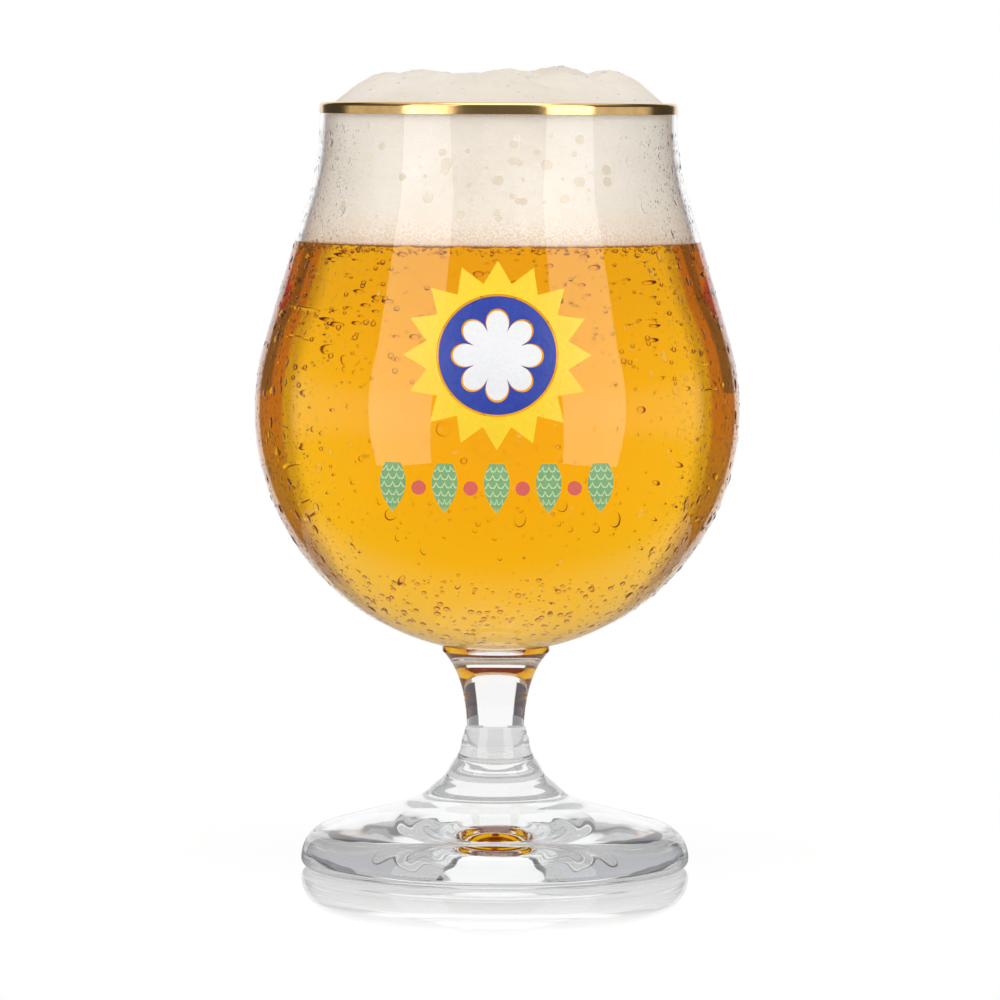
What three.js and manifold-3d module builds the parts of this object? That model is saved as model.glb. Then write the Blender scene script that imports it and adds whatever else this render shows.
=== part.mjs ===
// Stemmed beer goblet with a gilded lip, filled with beer under a standing head of foam.
// Millimetres, +Z up. The origin is on the table under the stem and the print faces -Y.

import * as THREE from 'three';
import { mergeVertices } from 'three/addons/utils/BufferGeometryUtils.js';
import Module from 'manifold-3d';

// Foot: a pressed disc with a bullnose edge, swept up into a ringed neck
const FOOT_RADIUS = 36.5;
const FOOT_SLOPE = THREE.MathUtils.degToRad(15.6);
const FOOT_EDGE_RADIUS = 6.4;
const FOOT_HEEL_RADIUS = 1.6;
const FOOT_REST_WIDTH = 2.5;
const FOOT_HOLLOW_DEPTH = 3.2;
const FOOT_NECK_RADIUS = 5.7;
const FOOT_SWEEP_RADIUS = 17;
const FOOT_SWEEP_LEAD = 1.5;
const NECK_RING_COUNT = 4;
const NECK_RING_DEPTH = 0.12;

// Stem: a drawn waist that opens into the collar under the bowl
const STEM_LENGTH = 14;
const STEM_WAIST_RADIUS = 5.4;
const STEM_WAIST_LEAN = 0.35;
const STEM_DRAW_LENGTH = 7.6;
const COLLAR_RADIUS = 10.1;
const COLLAR_DEPTH = 1;
const COLLAR_FLARE = 2.4;

// Bowl: a blown ball, a straight shoulder and a flare that turns upright at the lip
const BOWL_RADIUS = 45.5;
const BOWL_SHOULDER_LEAN = THREE.MathUtils.degToRad(16.5);
const BOWL_BELLY_WALL = 1.9;
const BOWL_FLOOR = 3.4;
const RIM_RADIUS = 33.5;
const RIM_WALL = 1.5;
const RIM_STRAIGHT = 3.6;
const FLARE_RADIUS = 47;

// Gilding: fired on the outside of the lip and over its crown
const BAND_HEIGHT = 2.3;
const BAND_THICKNESS = 0.15;

// Fill: beer up to the head, and the head up to its crest above the lip
const HEAD_DEPTH = 26.2;
const HEAD_SPRING = 0.9;
const CREST_RISE = 5.5;
const CREST_FULLNESS = 5;
const CREST_LUMPS = [
  { x: -15.5, y: -3, rise: 0.7, spread: 8 },
  { x: 10.7, y: 2, rise: 1.5, spread: 7 },
  { x: 20.5, y: -3, rise: 1.1, spread: 5 },
  { x: -3, y: 15, rise: 0.8, spread: 9 },
  { x: 3, y: -16, rise: 0.6, spread: 8 },
  { x: -21, y: 8, rise: 0.7, spread: 6 },
];

// Print: enamel sun with a rosette medallion above a row of hop cones and berries
const PRINT_THICKNESS = 0.2;
const PRINT_SPACING = 0.4;
const SUN_RISE = 12;
const SUN_RAY_COUNT = 16;
const SUN_RAY_RADIUS = 17;
const SUN_RING_RADIUS = 13;
const MEDALLION_RADIUS = 10.6;
const ROSETTE_RADIUS = 8;
const ROSETTE_WAIST_RADIUS = 4.4;
const ROSETTE_PETALS = 8;
const HOP_DROP = 12;
const HOP_COUNT = 5;
const HOP_PITCH = 9.4;
const HOP_LENGTH = 9;
const HOP_BULGE = 3.8;
const HOP_CROWN = 1.3;
const BERRY_RADIUS = 1.3;

// Clearances between neighbours
const WELD_GAP = 0.1;
const SKIN_GAP = 0.05;
const FILL_GAP = 0.1;
const HEAD_GAP = 0.3;

// Facets
const SEGMENTS = 48;
const BALL_STEPS = 14;
const FLARE_STEPS = 4;
const LIP_STEPS = 4;
const SWEEP_STEPS = 16;
const EDGE_STEPS = 6;
const HEEL_STEPS = 3;
const HOLLOW_STEPS = 5;
const STEM_STEPS = 9;
const CUP_STEPS = 3;
const CREST_RINGS = 9;
const PRINT_CURVE_STEPS = 5;
const PETAL_STEPS = 6;

const QUARTER = Math.PI / 2;

// Height of a second circle that the tangent leaving the first one at an angle also touches
function tangentHeight(first, firstRadius, angle, secondRadius, secondReach) {
  const apart = firstRadius + secondRadius;
  const along = (first.r + apart * Math.cos(angle) - secondReach) / Math.sin(angle);
  return first.z + apart * Math.sin(angle) + along * Math.cos(angle);
}

// Circles of the foot's half profile, which give its height
const HEEL = { r: FOOT_RADIUS - FOOT_HEEL_RADIUS, z: FOOT_HEEL_RADIUS };
const EDGE = { r: FOOT_RADIUS - FOOT_EDGE_RADIUS, z: FOOT_HEEL_RADIUS };
const EDGE_ANGLE = QUARTER - FOOT_SLOPE;
const SWEEP_REACH = FOOT_NECK_RADIUS + Math.sqrt(FOOT_SWEEP_RADIUS ** 2 - FOOT_SWEEP_LEAD ** 2);
const SWEEP = {
  r: SWEEP_REACH,
  z: tangentHeight(EDGE, FOOT_EDGE_RADIUS, EDGE_ANGLE, FOOT_SWEEP_RADIUS, SWEEP_REACH),
};
const FOOT_HEIGHT = SWEEP.z - FOOT_SWEEP_LEAD;

// Circles of the bowl's half profile, which stand on the stem and give the lip's height
const BOWL_BOTTOM = FOOT_HEIGHT + STEM_LENGTH;
const BALL = { r: 0, z: BOWL_BOTTOM + BOWL_RADIUS };
const FLARE_REACH = RIM_RADIUS + FLARE_RADIUS;
const FLARE = {
  r: FLARE_REACH,
  z: tangentHeight(BALL, BOWL_RADIUS, BOWL_SHOULDER_LEAN, FLARE_RADIUS, FLARE_REACH),
};
const RIM_HEIGHT = FLARE.z + RIM_STRAIGHT;
const LIP_RADIUS = RIM_WALL / 2;
const LIP = { r: RIM_RADIUS - LIP_RADIUS, z: RIM_HEIGHT - LIP_RADIUS };
const BEER_LEVEL = RIM_HEIGHT - HEAD_DEPTH;

// Finishes, one fresh material for each mesh
function finish(color, roughness, more = {}) {
  return () => new THREE.MeshStandardMaterial({ color, roughness, ...more });
}

const GLASS = finish(0xeef3f2, 0.03, { transparent: true, opacity: 0.35 });
const GOLD = finish(0xba945d, 0.15, { metalness: 1 });
const BEER = finish(0xf5a906, 0.05);
const FOAM = finish(0xeae2d6, 0.9);
const BLUE_ENAMEL = finish(0x2f429d, 0.35);
const WHITE_ENAMEL = finish(0xf1f0ee, 0.35);
const YELLOW_ENAMEL = finish(0xf7d232, 0.35);
const GREEN_ENAMEL = finish(0x84b08a, 0.35);
const RED_ENAMEL = finish(0xe2695e, 0.35);

// A point of a half profile: radius from the axis and height
const point = (r, z) => new THREE.Vector2(r, z);

// Points along a circle of a half profile, from one angle to another
function arc(centre, radius, from, to, steps) {
  return Array.from({ length: steps + 1 }, (_, i) => {
    const angle = from + ((to - from) * i) / steps;
    return point(centre.r + radius * Math.cos(angle), centre.z + radius * Math.sin(angle));
  });
}

// Direction from the first circle to where the crossing tangent of two circles leaves it
function crossTangent(first, firstRadius, second, secondRadius) {
  const across = second.r - first.r;
  const up = second.z - first.z;
  const spread = Math.acos((firstRadius + secondRadius) / Math.hypot(across, up));
  return Math.atan2(up, across) - spread;
}

// Cuts a rising profile at a height and ends it there
function cutAt(profile, height) {
  const next = profile.findIndex((p) => p.y >= height);
  const below = profile[next - 1];
  const above = profile[next];
  const cut = below.clone().lerp(above, (height - below.y) / (above.y - below.y));
  return [...profile.slice(0, next), cut];
}

// Keeps the part of a rising profile above a height
function keepAbove(profile, height) {
  const next = profile.findIndex((p) => p.y > height);
  return [cutAt(profile, height).at(-1), ...profile.slice(next)];
}

// A half profile turned about +Z, with its first meridian on -Y
function turned(profile) {
  return new THREE.LatheGeometry(profile, SEGMENTS).rotateX(QUARTER);
}

// The bowl's wall line from the axis to the foot of the lip's rounding
function wallLine(ballCentre, ballRadius, flareRadius) {
  const tangent = crossTangent(ballCentre, ballRadius, FLARE, flareRadius);
  return [
    ...arc(ballCentre, ballRadius, -QUARTER, tangent, BALL_STEPS),
    ...arc(FLARE, flareRadius, tangent + Math.PI, Math.PI, FLARE_STEPS),
    point(FLARE.r - flareRadius, LIP.z),
  ];
}

// The bowl's outside, moved out by an offset
function outerLine(offset = 0) {
  return wallLine(BALL, BOWL_RADIUS + offset, FLARE_RADIUS - offset);
}

// The bowl's inside, moved in by an offset. Its ball sits higher, for the thick floor
function innerLine(offset = 0) {
  const radius = BOWL_RADIUS - BOWL_BELLY_WALL;
  const centre = { r: 0, z: BOWL_BOTTOM + BOWL_FLOOR + radius };
  return wallLine(centre, radius - offset, FLARE_RADIUS + RIM_WALL + offset);
}

function bowl() {
  const lip = arc(LIP, LIP_RADIUS, 0, Math.PI, LIP_STEPS).slice(1, -1);
  return turned([...outerLine(), ...lip, ...innerLine().reverse()]);
}

function rimBand() {
  const side = (offset) => [
    point(RIM_RADIUS + offset, RIM_HEIGHT - BAND_HEIGHT),
    ...arc(LIP, LIP_RADIUS + offset, 0, QUARTER, LIP_STEPS / 2),
  ];
  const outside = side(SKIN_GAP + BAND_THICKNESS);
  const inside = side(SKIN_GAP).reverse();
  return turned([...outside, ...inside, outside[0]]);
}

function stem() {
  const base = FOOT_HEIGHT + WELD_GAP;
  const cupRadius = BOWL_RADIUS + WELD_GAP;
  const cupAngle = Math.acos(COLLAR_RADIUS / cupRadius);
  const cup = arc(BALL, cupRadius, -cupAngle, -QUARTER, CUP_STEPS);
  const collarBase = cup[0].y - COLLAR_DEPTH;
  const waist = new THREE.CubicBezierCurve(
    point(STEM_WAIST_RADIUS, base),
    point(STEM_WAIST_RADIUS + STEM_WAIST_LEAN, base + STEM_DRAW_LENGTH),
    point(COLLAR_RADIUS - COLLAR_FLARE, collarBase - COLLAR_FLARE),
    point(COLLAR_RADIUS, collarBase),
  );
  return turned([point(0, base), ...waist.getPoints(STEM_STEPS), ...cup]);
}

// The neck's sweep into the disc, with shallow chill rings along it
function neckSweep(from, to) {
  return Array.from({ length: SWEEP_STEPS + 1 }, (_, i) => {
    const along = i / SWEEP_STEPS;
    const ring = NECK_RING_DEPTH * Math.sin(Math.PI * NECK_RING_COUNT * along) ** 2;
    const angle = from + (to - from) * along;
    const radius = FOOT_SWEEP_RADIUS - ring;
    return point(SWEEP.r + radius * Math.cos(angle), SWEEP.z + radius * Math.sin(angle));
  });
}

function foot() {
  const neckAngle = Math.asin(FOOT_SWEEP_LEAD / FOOT_SWEEP_RADIUS) - Math.PI;
  const hollowWidth = HEEL.r - FOOT_REST_WIDTH;
  const hollowRadius = (hollowWidth ** 2 + FOOT_HOLLOW_DEPTH ** 2) / (2 * FOOT_HOLLOW_DEPTH);
  const hollowCentre = { r: 0, z: FOOT_HOLLOW_DEPTH - hollowRadius };
  const hollowAngle = Math.acos(hollowWidth / hollowRadius);
  return turned([
    ...arc(hollowCentre, hollowRadius, QUARTER, hollowAngle, HOLLOW_STEPS),
    ...arc(HEEL, FOOT_HEEL_RADIUS, -QUARTER, 0, HEEL_STEPS),
    ...arc(EDGE, FOOT_EDGE_RADIUS, 0, EDGE_ANGLE, EDGE_STEPS).slice(1),
    ...neckSweep(EDGE_ANGLE - Math.PI, neckAngle),
    point(0, FOOT_HEIGHT),
  ]);
}

function beer() {
  return turned([...cutAt(innerLine(FILL_GAP), BEER_LEVEL), point(0, BEER_LEVEL)]);
}

// Height of the head's crest: a full dome with a few soft lumps that fade to its edge
function crestHeight(x, y, edgeRadius) {
  const share = Math.min(Math.hypot(x, y) / edgeRadius, 1);
  const dome = 1 - share ** CREST_FULLNESS;
  const lumps = CREST_LUMPS.reduce((sum, lump) => {
    const away = Math.hypot(x - lump.x, y - lump.y) / lump.spread;
    return sum + lump.rise * Math.exp(-away * away);
  }, 0);
  return RIM_HEIGHT - HEAD_SPRING + (HEAD_SPRING + CREST_RISE + lumps) * dome;
}

// A closed skin over stacked rings of points, from the lower pole to the upper one
function ringSolid(lowerPole, rings, upperPole) {
  const count = rings[0].length;
  const corners = [lowerPole, ...rings.flat(), upperPole];
  const top = corners.length - 1;
  const indices = [];
  for (let i = 0; i < count; i++) {
    const next = (i + 1) % count;
    const last = 1 + (rings.length - 1) * count;
    indices.push(0, 1 + next, 1 + i);
    indices.push(top, last + i, last + next);
    for (let j = 1; j < rings.length; j++) {
      const low = 1 + (j - 1) * count;
      const high = low + count;
      indices.push(low + i, low + next, high + next, low + i, high + next, high + i);
    }
  }
  const geometry = new THREE.BufferGeometry().setFromPoints(corners);
  return geometry.setIndex(indices);
}

function foamHead() {
  const wall = keepAbove(innerLine(FILL_GAP), BEER_LEVEL + HEAD_GAP);
  const side = cutAt(wall, FLARE.z);
  const edgeRadius = RIM_RADIUS - RIM_WALL - FILL_GAP;
  const ring = (radius, height) => Array.from({ length: SEGMENTS }, (_, i) => {
    const turn = (2 * Math.PI * i) / SEGMENTS - QUARTER;
    const x = radius * Math.cos(turn);
    const y = radius * Math.sin(turn);
    return new THREE.Vector3(x, y, height(x, y));
  });
  const crest = (x, y) => crestHeight(x, y, edgeRadius);
  const sideRings = side.map((p) => ring(p.x, () => p.y));
  const crestRings = Array.from({ length: CREST_RINGS }, (_, i) => {
    const inward = Math.sin((QUARTER * (CREST_RINGS - i)) / CREST_RINGS);
    return ring(edgeRadius * inward, crest);
  });
  const base = new THREE.Vector3(0, 0, BEER_LEVEL + HEAD_GAP);
  const peak = new THREE.Vector3(0, 0, crest(0, 0));
  return ringSolid(base, [...sideRings, ...crestRings], peak);
}

// Solids for cutting and joining
const wasm = await Module();
wasm.setup();

function toSolid(geometry) {
  geometry.deleteAttribute('normal');
  geometry.deleteAttribute('uv');
  const merged = mergeVertices(geometry);
  const vertProperties = new Float32Array(merged.attributes.position.array);
  const triVerts = new Uint32Array(merged.index.array);
  return new wasm.Manifold(new wasm.Mesh({ numProp: 3, vertProperties, triVerts }));
}

function toGeometry(solid) {
  const { vertProperties, triVerts } = solid.getMesh();
  const geometry = new THREE.BufferGeometry();
  geometry.setAttribute('position', new THREE.BufferAttribute(vertProperties, 3));
  return geometry.setIndex(new THREE.BufferAttribute(triVerts, 1));
}

// The thin coat on the outside of the bowl that the print is cut from
function printCoat() {
  const lowest = BALL.z - HOP_DROP - HOP_LENGTH;
  const outside = keepAbove(outerLine(SKIN_GAP + PRINT_THICKNESS), lowest);
  const inside = keepAbove(outerLine(SKIN_GAP), lowest).reverse();
  return toSolid(turned([...outside, ...inside, outside[0]]));
}

const coat = printCoat();

// A flat outline in X and Z, cut through the front of the coat
function printed(shape) {
  const depth = BOWL_RADIUS + PRINT_THICKNESS + SKIN_GAP + PRINT_SPACING;
  const settings = { depth, bevelEnabled: false, curveSegments: PRINT_CURVE_STEPS };
  const stamp = new THREE.ExtrudeGeometry(shape, settings).rotateX(QUARTER);
  return toGeometry(coat.intersect(toSolid(stamp)));
}

const SUN_HEIGHT = BALL.z + SUN_RISE;
const HOP_HEIGHT = BALL.z - HOP_DROP;

// Outline points at a radius that changes round the sun's centre
function roundSun(count, radiusAt) {
  return Array.from({ length: count }, (_, i) => {
    const turn = (2 * Math.PI * i) / count;
    const radius = radiusAt(i);
    return new THREE.Vector2(radius * Math.cos(turn), SUN_HEIGHT + radius * Math.sin(turn));
  });
}

// Petal outline of the rosette, moved out by an offset
function rosetteOutline(offset) {
  const fullness = (i) => Math.sqrt(Math.abs(Math.cos((Math.PI * i) / PETAL_STEPS)));
  const reach = ROSETTE_RADIUS - ROSETTE_WAIST_RADIUS;
  return roundSun(
    ROSETTE_PETALS * PETAL_STEPS,
    (i) => ROSETTE_WAIST_RADIUS + reach * fullness(i) + offset,
  );
}

function sun() {
  const shape = new THREE.Shape(
    roundSun(SUN_RAY_COUNT * 2, (i) => (i % 2 === 0 ? SUN_RAY_RADIUS : SUN_RING_RADIUS)),
  );
  shape.holes.push(new THREE.Path(roundSun(SUN_RAY_COUNT * 2, () => MEDALLION_RADIUS + PRINT_SPACING)));
  return printed(shape);
}

function medallion() {
  const shape = new THREE.Shape(roundSun(SUN_RAY_COUNT * 2, () => MEDALLION_RADIUS));
  shape.holes.push(new THREE.Path(rosetteOutline(PRINT_SPACING)));
  return printed(shape);
}

function rosette() {
  return printed(new THREE.Shape(rosetteOutline(0)));
}

// Centre of a place in the hop row, counted from its middle
const rowPlace = (steps) => steps * HOP_PITCH;

function hopCone(steps) {
  const x = rowPlace(steps);
  const top = HOP_HEIGHT + HOP_LENGTH / 2;
  const tip = HOP_HEIGHT - HOP_LENGTH / 2;
  const shape = new THREE.Shape();
  shape.moveTo(x, tip);
  shape.quadraticCurveTo(x + HOP_BULGE, HOP_HEIGHT, x + HOP_CROWN, top);
  shape.lineTo(x - HOP_CROWN, top);
  shape.quadraticCurveTo(x - HOP_BULGE, HOP_HEIGHT, x, tip);
  return printed(shape);
}

function berry(steps) {
  const shape = new THREE.Shape();
  shape.absarc(rowPlace(steps), HOP_HEIGHT, BERRY_RADIUS, 0, 2 * Math.PI);
  return printed(shape);
}

const goblet = new THREE.Group();

function add(name, geometry, material) {
  const mesh = new THREE.Mesh(geometry, material());
  mesh.name = name;
  goblet.add(mesh);
}

add('foot', foot(), GLASS);
add('stem', stem(), GLASS);
add('bowl', bowl(), GLASS);
add('rim_band', rimBand(), GOLD);
add('beer', beer(), BEER);
add('foam_head', foamHead(), FOAM);
add('print_sun', sun(), YELLOW_ENAMEL);
add('print_medallion', medallion(), BLUE_ENAMEL);
add('print_rosette', rosette(), WHITE_ENAMEL);
for (let i = 0; i < HOP_COUNT; i++) {
  add(`print_hop_cone_${i + 1}`, hopCone(i - (HOP_COUNT - 1) / 2), GREEN_ENAMEL);
}
for (let i = 0; i < HOP_COUNT - 1; i++) {
  add(`print_berry_${i + 1}`, berry(i - (HOP_COUNT - 2) / 2), RED_ENAMEL);
}

export default goblet;
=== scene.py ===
"""Stemmed beer goblet with a gilded lip, filled with beer under a standing head of foam.

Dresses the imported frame: every node is replaced by a smooth piece with its own finish.
Metres, +Z up. The axis is the glass's own and the print faces -Y.
"""

import logging
import math
import random
from collections.abc import Callable, Iterable, Iterator
from contextlib import contextmanager
from dataclasses import dataclass, field
from enum import Enum

import bmesh
import bpy
from bpy.types import Material, Node, NodeSocket, NodeTree, Object, World
from mathutils import Matrix, Vector, noise


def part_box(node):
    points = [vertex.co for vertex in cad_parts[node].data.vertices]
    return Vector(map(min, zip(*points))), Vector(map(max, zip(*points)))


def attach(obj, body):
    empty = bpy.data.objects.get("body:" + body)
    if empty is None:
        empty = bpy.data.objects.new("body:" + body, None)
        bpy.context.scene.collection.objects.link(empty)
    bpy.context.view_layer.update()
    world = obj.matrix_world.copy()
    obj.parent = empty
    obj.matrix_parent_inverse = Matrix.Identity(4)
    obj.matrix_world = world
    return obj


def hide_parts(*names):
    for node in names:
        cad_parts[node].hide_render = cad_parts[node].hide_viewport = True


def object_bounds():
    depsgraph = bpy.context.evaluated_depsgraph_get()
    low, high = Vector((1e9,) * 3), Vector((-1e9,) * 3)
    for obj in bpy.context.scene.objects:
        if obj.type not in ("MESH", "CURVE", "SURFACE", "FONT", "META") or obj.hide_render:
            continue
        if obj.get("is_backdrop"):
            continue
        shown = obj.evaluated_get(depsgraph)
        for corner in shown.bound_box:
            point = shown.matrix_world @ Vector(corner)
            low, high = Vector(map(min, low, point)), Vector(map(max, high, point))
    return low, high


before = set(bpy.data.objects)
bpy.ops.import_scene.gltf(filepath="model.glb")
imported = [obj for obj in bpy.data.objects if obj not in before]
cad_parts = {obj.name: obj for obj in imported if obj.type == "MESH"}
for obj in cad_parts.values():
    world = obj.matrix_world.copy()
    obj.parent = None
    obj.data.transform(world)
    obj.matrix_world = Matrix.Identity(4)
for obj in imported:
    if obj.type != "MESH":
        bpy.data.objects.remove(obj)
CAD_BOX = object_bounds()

MM = 0.001
BODY = "root"
QUARTER = math.pi / 2
MERGE_DISTANCE = 1e-6
# Handle of a cubic that stands for a quarter of an ellipse, as a share of its half axis
QUARTER_HANDLE = 0.5523
# Crease angle of pieces that are smooth all over
SMOOTH = 180.0
WHITE = (1.0, 1.0, 1.0, 1.0)

Colour = tuple[float, float, float, float]
Span = tuple[float, float]
Value = NodeSocket | Colour | float
Reach = Callable[[float], float]

log = logging.getLogger("goblet")


# Modelling tools


def select_only(obj: Object) -> None:
    """Deselects everything, then selects one object and makes it active.

    Args:
        obj: The object.
    """
    bpy.ops.object.select_all(action="DESELECT")
    obj.select_set(True)
    bpy.context.view_layer.objects.active = obj


def started(name: str, add: Callable[..., set[str]], **settings: object) -> Object:
    """Adds an object with nothing else selected.

    Args:
        name: Name of the object and its data.
        add: The operator that adds it.
        settings: The operator's own settings.

    Returns:
        The object.
    """
    bpy.ops.object.select_all(action="DESELECT")
    add(**settings)
    obj = bpy.context.object
    obj.name = obj.data.name = name
    return obj


@contextmanager
def editing(obj: Object) -> Iterator[None]:
    """Opens edit mode on one object with all of it selected, and leaves it again.

    Args:
        obj: The mesh object to edit.
    """
    select_only(obj)
    bpy.ops.object.mode_set(mode="EDIT")
    bpy.ops.mesh.select_all(action="SELECT")
    yield
    bpy.ops.object.mode_set(mode="OBJECT")


def pick(obj: Object, test: Callable[[Vector], bool]) -> None:
    """Selects the vertices whose place passes a test, in edit mode.

    Args:
        obj: The object in edit mode.
        test: Says whether a place is picked.
    """
    bpy.ops.mesh.select_mode(type="VERT")
    mesh = bmesh.from_edit_mesh(obj.data)
    for vertex in mesh.verts:
        vertex.select_set(test(vertex.co))
    mesh.select_flush_mode()
    bmesh.update_edit_mesh(obj.data)


def apply_modifier(obj: Object, kind: str, **settings: object) -> None:
    """Adds a modifier with its settings and applies it at once.

    Args:
        obj: The object that gets it.
        kind: Blender's name of the modifier type.
        settings: Attributes to set on it.
    """
    select_only(obj)
    modifier = obj.modifiers.new(kind.lower(), kind)
    for key, value in settings.items():
        setattr(modifier, key, value)
    bpy.ops.object.modifier_apply(modifier=modifier.name)


def shade(obj: Object, crease_degrees: float = 40.0) -> None:
    """Smooths a piece and keeps the edges that are sharper than an angle."""
    select_only(obj)
    bpy.ops.object.shade_smooth_by_angle(angle=math.radians(crease_degrees))


def cut_ball(name: str, segments: int, rings: int, cut: float) -> Object:
    """A ball of radius 1 that is cut off flat and closed again.

    Args:
        name: Name of the object.
        segments: Facets round it.
        rings: Rings from pole to pole.
        cut: Height under which it is cut away.

    Returns:
        The object.
    """
    add = bpy.ops.mesh.primitive_uv_sphere_add
    obj = started(name, add, segments=segments, ring_count=rings, radius=1.0)
    with editing(obj):
        bpy.ops.mesh.bisect(plane_co=(0, 0, cut), plane_no=(0, 0, 1), clear_inner=True, use_fill=True)
    return obj


def copy_of(model: Object, place: Matrix, name: str) -> Object:
    """Copies a model with its own mesh and puts it in place.

    Args:
        model: The object that is modelled once.
        place: Where the copy goes; it is applied to the mesh.
        name: Name of the copy.

    Returns:
        The copy, at the origin.
    """
    copy = model.copy()
    copy.data = model.data.copy()
    copy.data.transform(place)
    copy.name = copy.data.name = name
    bpy.context.scene.collection.objects.link(copy)
    return copy


def strewn(model: Object, places: Iterable[Matrix], name: str) -> Object:
    """Copies a model to many places as one piece, and turns the model into that piece.

    Args:
        model: The object that is modelled once.
        places: Where the copies go.
        name: Name of the piece.

    Returns:
        The piece, at the origin.
    """
    gathered = bmesh.new()
    for place in places:
        mesh = model.data.copy()
        mesh.transform(place)
        gathered.from_mesh(mesh)
        bpy.data.meshes.remove(mesh)
    gathered.to_mesh(model.data)
    gathered.free()
    model.name = model.data.name = name
    return model


def on_surface(point: Vector, normal: Vector, scale: Vector, turn: float = 0.0) -> Matrix:
    """Place of a shape that stands on a surface.

    Args:
        point: Where its origin goes.
        normal: Where its Z axis points.
        scale: Its size along its own axes.
        turn: How far it is turned about its Z axis first.

    Returns:
        The matrix of that place.
    """
    stand = normal.to_track_quat("Z", "Y").to_matrix().to_4x4()
    spin = Matrix.Rotation(turn, 4, "Z")
    return Matrix.Translation(point) @ stand @ spin @ Matrix.Diagonal((*scale, 1.0))


def ahead(turn: float) -> Vector:
    """Level direction at a turn about the axis, counted from -Y towards +X."""
    return Vector((math.sin(turn), -math.cos(turn), 0))


def between(span: Span, share: float) -> float:
    """The value at a share of a span."""
    return span[0] + (span[1] - span[0]) * share


@dataclass(frozen=True)
class Circle:
    """A circle of a half profile: its centre's radius and height, and its own radius."""

    r: float
    z: float
    radius: float

    def at(self, angle: float) -> Vector:
        """Point of the circle at an angle, in the X-Z plane."""
        return Vector((self.r + self.radius * math.cos(angle), 0, self.z + self.radius * math.sin(angle)))

    def grown(self, by: float) -> "Circle":
        """The same circle with a larger radius."""
        return Circle(self.r, self.z, self.radius + by)


@dataclass
class Knot:
    """A point of a half profile with the handles of the curves on both sides of it."""

    at: Vector
    left: Vector | None = None
    right: Vector | None = None


class HalfProfile:
    """A half profile in the X-Z plane, drawn as one line of straights, arcs and curves."""

    def __init__(self, r: float, z: float) -> None:
        """Starts the line at a radius and a height."""
        self.knots = [Knot(Vector((r, 0, z)))]

    def line(self, r: float, z: float) -> "HalfProfile":
        """Goes straight to a radius and a height."""
        self.knots.append(Knot(Vector((r, 0, z))))
        return self

    def curve(self, first: Vector, second: Vector, end: Vector) -> None:
        """Goes to an end point on a cubic with two handles."""
        self.knots[-1].right = first
        self.knots.append(Knot(end, left=second))

    def arc(self, circle: Circle, start: float, end: float) -> None:
        """Goes along a circle, after a straight to where the arc starts.

        Args:
            circle: The circle to follow.
            start: Angle where the arc starts.
            end: Angle where it ends.
        """
        parts = math.ceil(abs(end - start) / (QUARTER / 2))
        step = (end - start) / parts
        reach = 4 / 3 * math.tan(step / 4) * circle.radius
        if (circle.at(start) - self.knots[-1].at).length > MERGE_DISTANCE:
            self.line(circle.at(start).x, circle.at(start).z)
        for part in range(parts):
            here = start + step * part
            there = here + step
            leave = Vector((-math.sin(here), 0, math.cos(here))) * reach
            arrive = Vector((-math.sin(there), 0, math.cos(there))) * reach
            self.curve(circle.at(here) + leave, circle.at(there) - arrive, circle.at(there))

    def draw(self, name: str, resolution: int) -> Object:
        """Draws the profile as a mesh line.

        Args:
            name: Name of the object.
            resolution: Points on each curved stretch.

        Returns:
            The object, which has edges only.
        """
        obj = started(name, bpy.ops.curve.primitive_bezier_curve_add)
        obj.data.resolution_u = resolution
        points = obj.data.splines[0].bezier_points
        points.add(len(self.knots) - len(points))
        for point, knot in zip(points, self.knots):
            point.handle_left_type = "FREE" if knot.left else "VECTOR"
            point.handle_right_type = "FREE" if knot.right else "VECTOR"
            point.co = knot.at
            point.handle_left = knot.left or knot.at
            point.handle_right = knot.right or knot.at
        bpy.ops.object.convert(target="MESH")
        obj.data.name = name
        return obj

    def turned(self, name: str, steps: int, resolution: int) -> Object:
        """Turns the profile about +Z into a closed body.

        Args:
            name: Name of the piece.
            steps: Facets round the axis.
            resolution: Points on each curved stretch.

        Returns:
            The piece, with its normals pointing out.
        """
        obj = self.draw(name, resolution)
        with editing(obj):
            bpy.ops.mesh.spin(steps=steps, angle=2 * math.pi, center=(0, 0, 0), axis=(0, 0, 1))
            bpy.ops.mesh.select_all(action="SELECT")
            bpy.ops.mesh.remove_doubles(threshold=MERGE_DISTANCE)
            bpy.ops.mesh.normals_make_consistent(inside=False)
        return obj


# Node tools

# How slow the clouds under the grain are, and the part of their range that is used
CLOUD_SHARE = 0.08
GRAIN_RANGE = (0.3, 0.7)


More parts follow.
